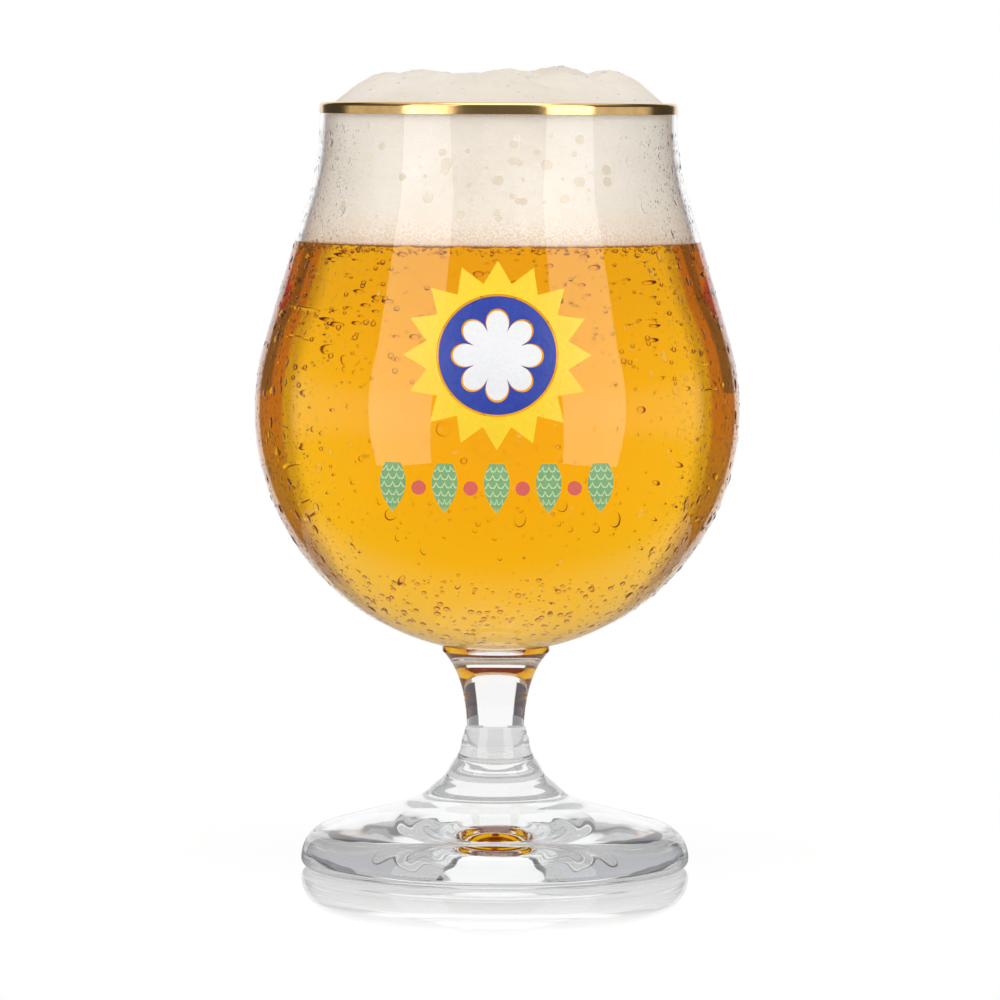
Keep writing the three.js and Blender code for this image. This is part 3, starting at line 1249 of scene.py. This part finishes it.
@dataclass
class Head:
    """The foam: a column inside the lip and a crest of soft lumps above it."""

    bowl: Bowl
    gap: float = 0.12 * MM
    dip: float = 0.25 * MM
    edge_height: float = 2 * MM
    spring: float = 0.9 * MM
    rise: float = 3.5 * MM
    fullness: float = 5.5
    fold_scale: float = 190.0
    fold_depth: float = 0.5 * MM
    fold_kind: tuple[float, float, int] = (0.8, 2.2, 3)
    pore_scale: float = 900.0
    pore_depth: float = 0.1 * MM
    pore_plane: float = 0.01
    edge_scale: float = 900.0
    edge_depth: float = 0.4 * MM
    steps: int = 480
    resolution: int = 56
    crease: float = 60.0
    seed: int = 71
    cell_count: int = 60
    cell_size: Span = (0.35 * MM, 1.05 * MM)
    cell_rise: float = 0.05 * MM
    cell_cut: float = -0.3
    cell_facets: tuple[int, int] = (16, 8)
    cell_over_beer: float = 4 * MM
    cell_under_rim: float = 5 * MM
    front_share: float = 0.35
    front_turn: Span = (0.05, 0.3)
    pit_count: int = 150
    pit_size: Span = (0.14 * MM, 0.42 * MM)
    pit_rise: float = 0.03 * MM
    pit_reach: float = 0.94
    pit_step: float = 0.4 * MM
    lumps: tuple[Lump, ...] = (
        Lump(-15.5, 5, 3.3, 9.5),
        Lump(10.7, 6, 3.9, 10),
        Lump(22.3, 1, 4.1, 8),
        Lump(-22.5, 3, 3.7, 7.5),
        Lump(-9, -13, 2.6, 9),
        Lump(2, -14, 3.3, 9),
        Lump(13, -14, 2.8, 8),
        Lump(-21, -9, 2.4, 7),
        Lump(23, -10, 2.2, 7),
        Lump(-4, 18, 3.0, 9.5),
        Lump(-22, 13, 2.6, 8),
        Lump(18, 18, 2.8, 8),
    )

    def __post_init__(self) -> None:
        """Takes its room from the bowl and the frame."""
        self.wall = self.bowl.inside.moved_out(-self.gap)
        self.edge = self.wall.flare.r - self.wall.flare.radius
        self.spring_z = self.bowl.rim_height - self.spring
        self.crest_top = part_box("foam_head")[1].z
        self.rng = random.Random(self.seed)

    def crest(self, x: float, y: float) -> float:
        """Height of the crest at a place.

        Args:
            x: Place along X.
            y: Place along Y.

        Returns:
            The height.
        """
        dome = 1 - min(math.hypot(x, y) / self.edge, 1.0) ** self.fullness
        swell = self.spring + self.rise + max(lump.height(x, y) for lump in self.lumps)
        folds = noise.fractal(Vector((x, y, 0)) * self.fold_scale, *self.fold_kind) * self.fold_depth
        pores = noise.noise(Vector((x, y, self.pore_plane)) * self.pore_scale) * self.pore_depth
        return self.spring_z + (swell + folds - self.fold_depth + pores) * dome

    def build(self, foam: Material) -> None:
        """Turns the column, then raises the crest and roughens the edge on the beer.

        Args:
            foam: Material of the head.
        """
        wall, edge, spring_z = self.wall, self.edge, self.spring_z
        low = self.bowl.level - self.dip
        top = self.bowl.rim_height + self.rise
        profile = HalfProfile(0, low).line(wall.at(low)[0], low)
        profile.line(wall.at(low + self.edge_height)[0], low + self.edge_height)
        profile.arc(wall.flare, wall.lean + math.pi, math.pi)
        profile.line(edge, spring_z)
        profile.curve(
            Vector((edge, 0, between((spring_z, top), QUARTER_HANDLE))),
            Vector((edge * QUARTER_HANDLE, 0, top)),
            Vector((0, 0, top)),
        )
        obj = profile.turned("foam_crown", self.steps, self.resolution)
        for vertex in obj.data.vertices:
            place = vertex.co
            if place.z > spring_z + MERGE_DISTANCE:
                place.z = min(self.crest(place.x, place.y), self.crest_top)
            elif place.z < low + MERGE_DISTANCE and place.xy.length > edge:
                place.z += self.edge_depth * noise.noise(place * self.edge_scale)
        shade(obj, self.crease)
        settle(obj, [foam], "foam", "foam_head")

    def cells(self) -> Iterator[Matrix]:
        """Draws large cells against the glass, many of them in front.

        Yields:
            The place of each cell.
        """
        rng = self.rng
        heights = self.bowl.level + self.cell_over_beer, self.bowl.rim_height - self.cell_under_rim
        for _ in range(self.cell_count):
            size = rng.uniform(*self.cell_size)
            in_front = rng.random() < self.front_share
            turn = rng.gauss(*self.front_turn) if in_front else rng.uniform(-math.pi, math.pi)
            spot, normal = self.wall.spot(turn, rng.uniform(*heights))
            yield on_surface(spot, normal, Vector((size, size, self.cell_rise)))

    def pits(self) -> Iterator[Matrix]:
        """Draws small cells on the crest, caps whose painted shade makes them look open.

        Yields:
            The place of each cell.
        """
        rng, step = self.rng, self.pit_step
        for _ in range(self.pit_count):
            size = rng.uniform(*self.pit_size)
            away = self.edge * self.pit_reach * math.sqrt(rng.random())
            x, y, _ = ahead(rng.uniform(-math.pi, math.pi)) * away
            z = self.crest(x, y)
            along_x = (self.crest(x + step, y) - z) / step
            along_y = (self.crest(x, y + step) - z) / step
            normal = Vector((-along_x, -along_y, 1.0)).normalized()
            yield on_surface(Vector((x, y, z)), normal, Vector((size, size, self.pit_rise)))

    def build_cells(self, skin: Material) -> None:
        """Sets a few large cells against the glass and small ones on the crest, as shallow caps in
        painted shade.

        Args:
            skin: Material of the cells, a darker painted shade.
        """
        model = cut_ball("cell", *self.cell_facets, self.cell_cut)
        shade(model, SMOOTH)
        obj = strewn(model, [*self.cells(), *self.pits()], "foam_cells")
        settle(obj, [skin], "foam")


@dataclass
class Print:
    """The enamel on the front: a sun round a rosette, above a row of hop cones and berries."""

    bowl: Bowl
    carrier: Object
    enamels: dict[PrintColour, Material]
    thickness: float = 0.2 * MM
    spacing: float = 0.4 * MM
    stand_off: float = 10 * MM
    sun_rise: float = 12.0 * MM
    ray_count: int = 16
    ray_radius: float = 17.0 * MM
    ring_radius: float = 13.0 * MM
    medallion_radius: float = 10.6 * MM
    rosette_radius: float = 8.0 * MM
    rosette_waist: float = 4.4 * MM
    petals: int = 8
    hub: float = 0.5 * MM
    hub_reach: float = 1.01
    hop_drop: float = 12.0 * MM
    hop_count: int = 5
    hop_pitch: float = 9.4 * MM
    hop_length: float = 9.0 * MM
    hop_bulge: float = 3.8 * MM
    hop_crown: float = 1.3 * MM
    hop_tip: float = 0.05 * MM
    hop_facets: tuple[int, int] = (12, 30)
    berry_radius: float = 1.3 * MM
    berry_facets: int = 40
    sink: float = 0.7
    points: int = 192
    cuts: int = 5

    def __post_init__(self) -> None:
        """Works out the heights of the sun and the row, and where the flat artwork stands."""
        centre = self.bowl.outside.ball.z
        self.sun_z = centre + self.sun_rise
        self.row_z = centre - self.hop_drop
        self.front = -self.bowl.radius - self.stand_off

    def rosette_reach(self, turn: float) -> float:
        """Radius of the rosette at an angle round its centre."""
        full = math.sqrt(abs(math.cos(self.petals / 2 * turn)))
        return between((self.rosette_waist, self.rosette_radius), full)

    def rosette_hole(self, turn: float) -> float:
        """Radius of the medallion's hole round the rosette."""
        return self.rosette_reach(turn) + self.spacing

    def sun_reach(self, turn: float) -> float:
        """Radius of the sun at an angle: straight-sided rays that stand on its ring.

        Args:
            turn: Angle round the sun's centre.

        Returns:
            The radius.
        """
        half = math.pi / self.ray_count
        angle = abs((turn / half + 1) % 2 - 1) * half
        tip = Vector((self.ray_radius, 0))
        edge = Vector((math.cos(half), math.sin(half))) * self.ring_radius - tip
        return (tip.x * edge.y) / (edge.y * math.cos(angle) - edge.x * math.sin(angle))

    def loop(self, name: str, reach: Reach) -> Object:
        """A closed flat line round the sun's centre, in front of the bowl.

        Args:
            name: Name of the object.
            reach: Its radius at each angle.

        Returns:
            The line as an object.
        """
        obj = started(name, bpy.ops.mesh.primitive_circle_add, vertices=self.points, radius=1.0)
        for vertex in obj.data.vertices:
            turn = math.atan2(vertex.co.y, vertex.co.x)
            radius = reach(turn)
            vertex.co = (radius * math.cos(turn), self.front, self.sun_z + radius * math.sin(turn))
        return obj

    def ring(self, name: str, outer: Reach, inner: Reach) -> Object:
        """A flat ring between two lines, bridged with enough cuts to bend.

        Args:
            name: Name of the piece.
            outer: Radius of the outer line at each angle.
            inner: Radius of the inner line at each angle.

        Returns:
            The ring as an object.
        """
        obj = self.loop(name, outer)
        hole = self.loop("hole", inner)
        select_only(obj)
        hole.select_set(True)
        bpy.ops.object.join()
        with editing(obj):
            bpy.ops.mesh.bridge_edge_loops(number_cuts=self.cuts, interpolation="LINEAR")
        return obj

    def disc(self, name: str, outer: Reach) -> Object:
        """A flat disc inside a line, a ring whose inner line is drawn together at its centre.

        Args:
            name: Name of the piece.
            outer: Radius of its line at each angle.

        Returns:
            The disc as an object.
        """
        obj = self.ring(name, outer, lambda turn: self.hub)
        centre = Vector((0, self.front, self.sun_z))
        with editing(obj):
            pick(obj, lambda place: (place - centre).length < self.hub * self.hub_reach)
            bpy.ops.mesh.merge(type="CENTER")
        return obj

    def hop_model(self) -> Object:
        """Models a flat hop cone in the middle of the row, from a fine grid.

        Returns:
            The model.
        """
        columns, rows = self.hop_facets
        add = bpy.ops.mesh.primitive_grid_add
        obj = started("hop_cone", add, x_subdivisions=columns, y_subdivisions=rows, size=2.0)
        for vertex in obj.data.vertices:
            share = (vertex.co.y + 1) / 2
            width = 2 * share * (1 - share) * self.hop_bulge + share**2 * self.hop_crown
            z = self.row_z + (share - 0.5) * self.hop_length
            vertex.co = (vertex.co.x * max(width, self.hop_tip), self.front, z)
        return obj

    def berry_model(self) -> Object:
        """Models a flat berry in the middle of the row.

        Returns:
            The model.
        """
        size = {"vertices": self.berry_facets, "radius": self.berry_radius}
        obj = started("berry", bpy.ops.mesh.primitive_circle_add, fill_type="TRIFAN", **size)
        for vertex in obj.data.vertices:
            vertex.co = (vertex.co.x, self.front, self.row_z + vertex.co.y)
        return obj

    def lay(self, obj: Object, colour: PrintColour) -> None:
        """Lays flat artwork on the bowl and gives it the thickness of its coat.

        Args:
            obj: The artwork, standing in front of the bowl and named after its CAD node.
            colour: Its enamel.
        """
        with editing(obj):
            bpy.ops.mesh.normals_make_consistent(inside=False)
        if obj.data.polygons[0].normal.y > 0:
            with editing(obj):
                bpy.ops.mesh.flip_normals()
        apply_modifier(
            obj, "SHRINKWRAP", target=self.carrier, wrap_method="PROJECT",
            use_project_y=True, use_positive_direction=True, use_negative_direction=False,
        )
        apply_modifier(obj, "SOLIDIFY", thickness=self.thickness, offset=self.sink, use_even_offset=True)
        shade(obj)
        settle(obj, [self.enamels[colour]], colour.name, obj.name.replace("enamel", "print"))

    def row(self, model: Object, label: str, count: int, colour: PrintColour) -> None:
        """Repeats a model along the row and lays each copy on the bowl.

        Args:
            model: The flat model in the middle of the row.
            label: Name of the copies without their number.
            count: How many there are.
            colour: Their enamel.
        """
        for number in range(1, count + 1):
            shift = (number - (count + 1) / 2) * self.hop_pitch
            self.lay(copy_of(model, Matrix.Translation((shift, 0, 0)), f"{label}_{number}"), colour)
        bpy.data.objects.remove(model)

    def build(self) -> None:
        """Prints the sun, the medallion, the rosette and the row under them."""
        sun = self.ring("enamel_sun", self.sun_reach, lambda turn: self.medallion_radius + self.spacing)
        self.lay(sun, PrintColour.yellow_enamel)
        medallion = self.ring("enamel_medallion", lambda turn: self.medallion_radius, self.rosette_hole)
        self.lay(medallion, PrintColour.blue_enamel)
        self.lay(self.disc("enamel_rosette", self.rosette_reach), PrintColour.white_enamel)
        self.row(self.hop_model(), "enamel_hop_cone", self.hop_count, PrintColour.green_enamel)
        self.row(self.berry_model(), "enamel_berry", self.hop_count - 1, PrintColour.red_enamel)


@dataclass(frozen=True)
class DewKind:
    """One kind of drop: how many, how large, how long and how high they stand."""

    name: str
    count: int
    size: Span
    rarity: float
    stretch: Span
    rise: float
    sway: float
    facets: tuple[int, int]
    cut: float = 0.3
    runs: bool = False


@dataclass
class Condensation:
    """Dew on the outside of the cold bowl: fine mist, standing drops and a few that run."""

    bowl: Bowl
    kinds: tuple[DewKind, ...] = (
        DewKind("mist", 8500, (0.08 * MM, 0.17 * MM), 2, (0.9, 1.4), 0.32, 2.0, (6, 4)),
        DewKind("beads", 3400, (0.14 * MM, 0.3 * MM), 2, (0.9, 1.5), 0.3, 1.0, (8, 6)),
        DewKind("drops", 800, (0.24 * MM, 0.85 * MM), 4, (0.9, 1.6), 0.25, 0.3, (12, 8)),
        DewKind("runs", 12, (0.5 * MM, 1.0 * MM), 1, (1.2, 1.9), 0.26, 0.2, (14, 8), 0.25, True),
    )
    seed: int = 5
    sink: float = 0.02 * MM
    crease: float = 50.0
    over_collar: float = 6 * MM
    run_over_collar: float = 16 * MM
    under_rim: float = 4 * MM
    back_turn: float = math.radians(80)
    back_share: float = 0.22
    front_share: float = 0.1
    clear_turn: float = math.radians(34)
    full_turn: float = math.radians(60)

    def __post_init__(self) -> None:
        """Starts the draws, which go on from one kind to the next."""
        self.rng = random.Random(self.seed)

    def model(self, kind: DewKind) -> Object:
        """A standing drop: the upper part of a ball, closed where it meets the glass.

        Args:
            kind: The kind of drop.

        Returns:
            The model, one unit wide and high, standing on Z = 0.
        """
        obj = cut_ball(kind.name, *kind.facets, kind.cut)
        width = 1 / math.sqrt(1 - kind.cut**2)
        with editing(obj):
            bpy.ops.transform.translate(value=(0, 0, -kind.cut))
            bpy.ops.transform.resize(value=(width, width, 1 / (1 - kind.cut)), center_override=(0, 0, 0))
        shade(obj, self.crease)
        return obj

    def share(self, turn: float) -> float:
        """How much of the dew is left at a turn from the front: wiped there, and dry behind.

        Args:
            turn: The turn from the front.

        Returns:
            A share from 0 to 1.
        """
        if abs(turn) > self.back_turn:
            return self.back_share
        away = (abs(turn) - self.clear_turn) / (self.full_turn - self.clear_turn)
        ease = min(max(away, 0.0), 1.0)
        return between((self.front_share, 1.0), ease * ease * (3 - 2 * ease))

    def places(self, kind: DewKind) -> Iterator[Matrix]:
        """Draws the copies of one kind of drop, fewer where the bowl has been wiped.

        Args:
            kind: The kind of drop.

        Yields:
            The place of each copy.
        """
        rng, bowl = self.rng, self.bowl
        low = bowl.bottom + (self.run_over_collar if kind.runs else self.over_collar)
        high = bowl.outside.ball.z if kind.runs else bowl.rim_height - self.under_rim
        made = 0
        while made < kind.count:
            turn = rng.uniform(-math.pi, math.pi)
            z = rng.uniform(low, high)
            wide = bowl.outside.at(z)[0] / bowl.radius
            if rng.random() < self.share(turn) * wide:
                made += 1
                size = between(kind.size, rng.random() ** kind.rarity)
                scale = Vector((size, size * rng.uniform(*kind.stretch), size * kind.rise))
                spot, normal = bowl.outside.spot(turn, z, -self.sink)
                yield on_surface(spot, normal, scale, rng.gauss(0, kind.sway))

    def build(self, water: Material) -> None:
        """Lays the mist, the beads, the drops and the runs.

        Args:
            water: Material of the drops.
        """
        for kind in self.kinds:
            obj = strewn(self.model(kind), self.places(kind), f"dew_{kind.name}")
            settle(obj, [water], "glass")


# The studio

# Glow colours of the cards behind the glass: painted shade in greys and a brown, which only what is seen
# through the glass shows
PALE = (0.52, 0.515, 0.54, 1.0)
ASH = (0.27, 0.26, 0.28, 1.0)
DARK = (0.11, 0.095, 0.105, 1.0)
BROWN = (0.54, 0.27, 0.19, 1.0)
DUSK = (0.46, 0.35, 0.3, 1.0)

# Stops of the sky, by the share of the half turn from the front to the back: what is mirrored
FRONT_STOPS = ((0.0, 0.15), (0.16, 0.13))
SIDE_PLACES = (0.18, 0.345, 0.62)
BACK_STOPS = ((0.65, 0.06), (0.85, 0.06), (0.87, 1.0))

# What shows through the glass, with a cool and a warm side
COOL_SIDE = (0.44, 0.48, 0.48, 1.0)
WARM_SIDE = (0.66, 0.62, 0.6, 1.0)
THROUGH_STOPS = (
    (0.0, 0.85), (0.47, 0.8), (0.5, COOL_SIDE), (0.6, COOL_SIDE),
    (0.66, WARM_SIDE), (0.8, WARM_SIDE), (0.826, 1.0),
)


@dataclass(frozen=True)
class Softbox:
    """A soft lamp that faces the glass, placed by its turn from the front in degrees."""

    name: str
    turn: float
    elevation: float
    distance: float
    width: float
    height: float
    radiance: float
    aim_height: float = 0.08

    def hang(self) -> None:
        """Adds the lamp."""
        rise = math.radians(self.elevation)
        out = ahead(math.radians(self.turn)) * math.cos(rise) + Vector((0, 0, math.sin(rise)))
        place = out * self.distance + Vector((0, 0, self.aim_height))
        lamp = started(self.name, bpy.ops.object.light_add, type="AREA", location=place)
        lamp.rotation_euler = out.to_track_quat("Z", "Y").to_euler()
        lamp.data.shape = "RECTANGLE"
        lamp.data.size = self.width
        lamp.data.size_y = self.height
        lamp.data.energy = self.radiance * math.pi * self.width * self.height
        lamp.visible_transmission = False


@dataclass(frozen=True)
class ShadeCard:
    """An upright glowing card with soft ends, which only what is seen through glass shows: painted shade
    for the edges of the glass.
    """

    name: str
    turn: float
    distance: float
    width: float
    heights: Span
    foot: Colour
    head: Colour
    feather: float
    change: Span = (0.46, 0.7)
    cuts: int = 3

    def finish(self) -> Material:
        """Makes a glow from one colour at the foot to another at the head, faded at both ends.

        Returns:
            The material.
        """
        material = bpy.data.materials.new(self.name)
        material.cycles.emission_sampling = "NONE"
        sheet = blank(material)
        across, up, _ = sheet.parts(sheet.where("UV"))
        off = sheet.math("ABSOLUTE", sheet.math("SUBTRACT", across, 0.5))
        solid = sheet.span(off, 0.5, 0.5 - self.feather)
        # Painted shade: the card glows in a grey or brown that only rays through the glass see.
        colour = sheet.blend(sheet.span(up, *self.change), self.foot, self.head)
        shaders = {1: sheet.out("BsdfTransparent"), 2: sheet.out("Emission", {"Color": colour})}
        sheet.add("OutputMaterial", {0: sheet.out("MixShader", {0: solid, **shaders})})
        return material

    def stand(self, side: int) -> None:
        """Puts the card up.

        Args:
            side: -1 for the left of the glass and 1 for its right.
        """
        low, high = self.heights
        away = ahead(side * math.radians(self.turn)) * self.distance
        card = started(self.name, bpy.ops.mesh.primitive_plane_add, size=1.0)
        with editing(card):
            bpy.ops.mesh.subdivide(number_cuts=self.cuts)
        size = Vector((self.width, high - low, 1.0))
        card.data.transform(on_surface(away + Vector((0, 0, (low + high) / 2)), -away, size))
        card.data.materials.append(self.finish())
        card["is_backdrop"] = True
        card.visible_camera = False
        card.visible_diffuse = False
        card.visible_glossy = False
        card.visible_shadow = False


@dataclass
class Studio:
    """A white sweep, a glossy pale table top, soft lamps and the camera."""

    table_radius: float = 0.17
    table_facets: int = 160
    table_drop: float = 0.0002
    table_rim: float = 0.002
    table_lit: float = 0.9
    table_seen: float = 0.3
    table_gloss: float = 0.6
    table_glow: float = 0.72
    painted_shade_through: float = 0.27
    painted_shade_mirrored: float = 0.17
    under_stem: float = 0.026
    front_spread: float = 0.8
    front_edge: Span = (-0.102, -0.052)
    mirrored_shade_greys: Span = (0.06, 0.56)
    gloss_range: Span = (0.11, 0.038)
    gloss_rough: float = 0.01
    eye_level: Span = (0.22, 0.05)
    dim_sky: Span = (0.1, 0.1)
    lively_sky: Span = (0.42, 0.65)
    overhead: Span = (0.6, 0.85)
    overhead_mirrored: float = 0.8
    overhead_through: float = 0.9
    bounces: int = 28
    clear_bounces: int = 24
    lens: float = 216.0
    sensor: float = 36.0
    camera_place: tuple[float, float, float] = (0.00024, -1.125, 0.14273)
    camera_pitch: float = math.radians(3.7475)
    camera_roll: float = math.radians(-0.3)
    lamps: tuple[Softbox, ...] = (
        Softbox("softbox_left", -46, 12, 0.95, 0.54, 1.25, 2.2),
        Softbox("softbox_right", 46, 12, 0.95, 0.54, 1.25, 2.2),
        Softbox("softbox_top", 0, 80, 0.9, 0.6, 0.6, 2.3),
    )
    cards: tuple[ShadeCard, ...] = (
        ShadeCard("card_foot", 137, 0.1, 0.11, (0.0005, 0.0205), PALE, PALE, 0.08),
        ShadeCard("card_heel", 142.5, 0.102, 0.053, (0.0205, 0.03), ASH, ASH, 0.06),
        ShadeCard("card_stem", 133.5, 0.102, 0.087, (0.03, 0.076), DARK, DARK, 0.06),
        ShadeCard("card_bowl", 136.5, 0.3, 0.138, (-0.12, 0.26), BROWN, DUSK, 0.1),
    )

    def sky(self) -> None:
        """White behind the glass; bright and dark stretches all round for it to show."""
        world = bpy.data.worlds.new("studio")
        world.cycles.sampling_method = "NONE"
        bpy.context.scene.world = world
        sheet = blank(world)
        x, y, z = sheet.parts(sheet.where("Generated"))
        turn = sheet.math("ARCTAN2", x, sheet.math("MULTIPLY", y, -1.0))
        share = sheet.math("DIVIDE", sheet.math("ABSOLUTE", turn), math.pi)
        ray = sheet.add("LightPath").outputs
        at_eye_level = sheet.span(sheet.math("ABSOLUTE", z), *self.eye_level)
        lively = sheet.math("MAXIMUM", at_eye_level, ray["Is Diffuse Ray"])
        skies = (
            sheet.ramp(share, (*FRONT_STOPS, *zip(SIDE_PLACES, (near, far, far)), *BACK_STOPS))
            for near, far in (self.dim_sky, self.lively_sky)
        )
        mirrored = sheet.blend(lively, *skies)
        through = sheet.ramp(share, THROUGH_STOPS)
        overhead = sheet.span(z, *self.overhead)
        mirrored = sheet.blend(overhead, mirrored, grey(self.overhead_mirrored))
        through = sheet.blend(overhead, through, grey(self.overhead_through))
        colour = sheet.blend(ray["Is Transmission Ray"], mirrored, through)
        colour = sheet.blend(ray["Is Camera Ray"], colour, WHITE)
        sheet.add("OutputWorld", {0: sheet.out("Background", {"Color": colour, "Strength": 1.0})})

    def table_white(self) -> Material:
        """Makes a white board with a gloss near the glass, and painted shade for what mirrors or bends
        it.

        Returns:
            The material.
        """
        material = bpy.data.materials.new("table_white")
        sheet = blank(material)
        ray = sheet.add("LightPath").outputs
        mirrored, bent = ray["Is Glossy Ray"], ray["Is Transmission Ray"]
        seen = sheet.math("ADD", ray["Is Camera Ray"], bent)
        where = sheet.where()
        away = sheet.add("VectorMath", {0: where}, operation="LENGTH").outputs["Value"]
        # Painted shade: for mirrored rays the board is grey, dark in front of the glass and further out,
        # paler behind it.
        beside = sheet.math("MULTIPLY_ADD", away, -self.front_spread, sheet.parts(where)[1])
        pale = sheet.blend(sheet.span(beside, *self.front_edge), *map(grey, self.mirrored_shade_greys))
        lit = sheet.blend(mirrored, grey(self.table_lit), pale)
        board = sheet.out("BsdfDiffuse", {"Color": sheet.blend(seen, lit, grey(self.table_seen))})
        # Painted shade: the glow seen through the glass is weaker away from under the stem, and weaker
        # again after a mirror.
        dim = sheet.span(away, self.under_stem / 2, self.under_stem, (0.0, self.painted_shade_through))
        mirrored_once = sheet.math("MINIMUM", ray["Glossy Depth"], 1.0)
        loss = sheet.math("MULTIPLY_ADD", mirrored_once, self.painted_shade_mirrored, dim)
        bright = sheet.math("MULTIPLY", seen, self.table_glow)
        light = sheet.math("SUBTRACT", bright, sheet.math("MULTIPLY", bent, loss))
        glow = sheet.out("Emission", {"Color": WHITE, "Strength": light})
        gloss = sheet.out("BsdfGlossy", {"Color": WHITE, "Roughness": self.gloss_rough})
        near = sheet.span(away, *self.gloss_range, (0.0, self.table_gloss))
        share = sheet.math("MULTIPLY", near, sheet.math("SUBTRACT", 1.0, mirrored))
        shaders = {0: share, 1: sheet.out("AddShader", {0: board, 1: glow}), 2: gloss}
        sheet.add("OutputMaterial", {0: sheet.out("MixShader", shaders)})
        return material

    def table(self) -> None:
        """A round white table top that mirrors the foot faintly and keeps its shadow."""
        size = {"vertices": self.table_facets, "radius": self.table_radius}
        top = started("table_top", bpy.ops.mesh.primitive_circle_add, fill_type="NGON", **size)
        with editing(top):
            bpy.ops.transform.translate(value=(0, 0, -self.table_drop))
            bpy.ops.mesh.inset(thickness=self.table_rim)
        top.data.materials.append(self.table_white())
        top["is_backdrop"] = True

    def camera(self) -> None:
        """The camera, in front and a little above the middle of the glass."""
        turn = (QUARTER - self.camera_pitch, self.camera_roll, 0)
        camera = started("camera", bpy.ops.object.camera_add, location=self.camera_place, rotation=turn)
        camera.data.lens = self.lens
        camera.data.sensor_width = self.sensor
        bpy.context.scene.camera = camera

    def build(self) -> None:
        """Sets up the whole studio."""
        scene = bpy.context.scene
        scene.view_settings.view_transform = "Standard"
        scene.cycles.max_bounces = self.bounces
        scene.cycles.glossy_bounces = self.bounces
        scene.cycles.transmission_bounces = self.bounces
        scene.cycles.transparent_max_bounces = self.clear_bounces
        self.sky()
        self.table()
        for lamp in self.lamps:
            lamp.hang()
        for side in (-1, 1):
            for card in self.cards:
                card.stand(side)
        self.camera()


def write_sizes() -> None:
    """Gathers the CAD box and the visual model's box as plain lists, which are not written out."""
    boxes = {"cad": CAD_BOX, "visual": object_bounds()}
    plain = {name: [list(corner) for corner in box] for name, box in boxes.items()}


def main() -> None:
    """Builds the goblet, fills it, prints and chills it, and sets up the studio."""
    logging.basicConfig(level=logging.INFO, format="%(name)s %(message)s")
    joint = FusedJoint().build()
    glass = {kind: kind.value.build() for kind in Glass}
    bowl = Bowl()
    blown = bowl.build([glass[Glass.BOWL], joint, glass[Glass.WETTED]])
    bowl.gild(FiredGold().build())
    stand = Stand()
    stand.build_stem(bowl, [glass[Glass.STEM], joint])
    stand.build_foot([glass[Glass.FOOT], joint])
    fill = Fill(bowl)
    fill.build_beer(PaleBeer().build(bowl.bottom, bowl.level))
    fill.build_bubbles(GasBubble().build())
    head = Head(bowl)
    head.build(HeadFoam().build(bowl.level))
    head.build_cells(ShadedFoamCell().build())
    enamels = {colour: Enamel(colour.name, *colour.value).build() for colour in PrintColour}
    Print(bowl, blown, enamels).build()
    Condensation(bowl).build(Dew().build())
    Studio().build()
    write_sizes()


if __name__ == "__main__":
    main()
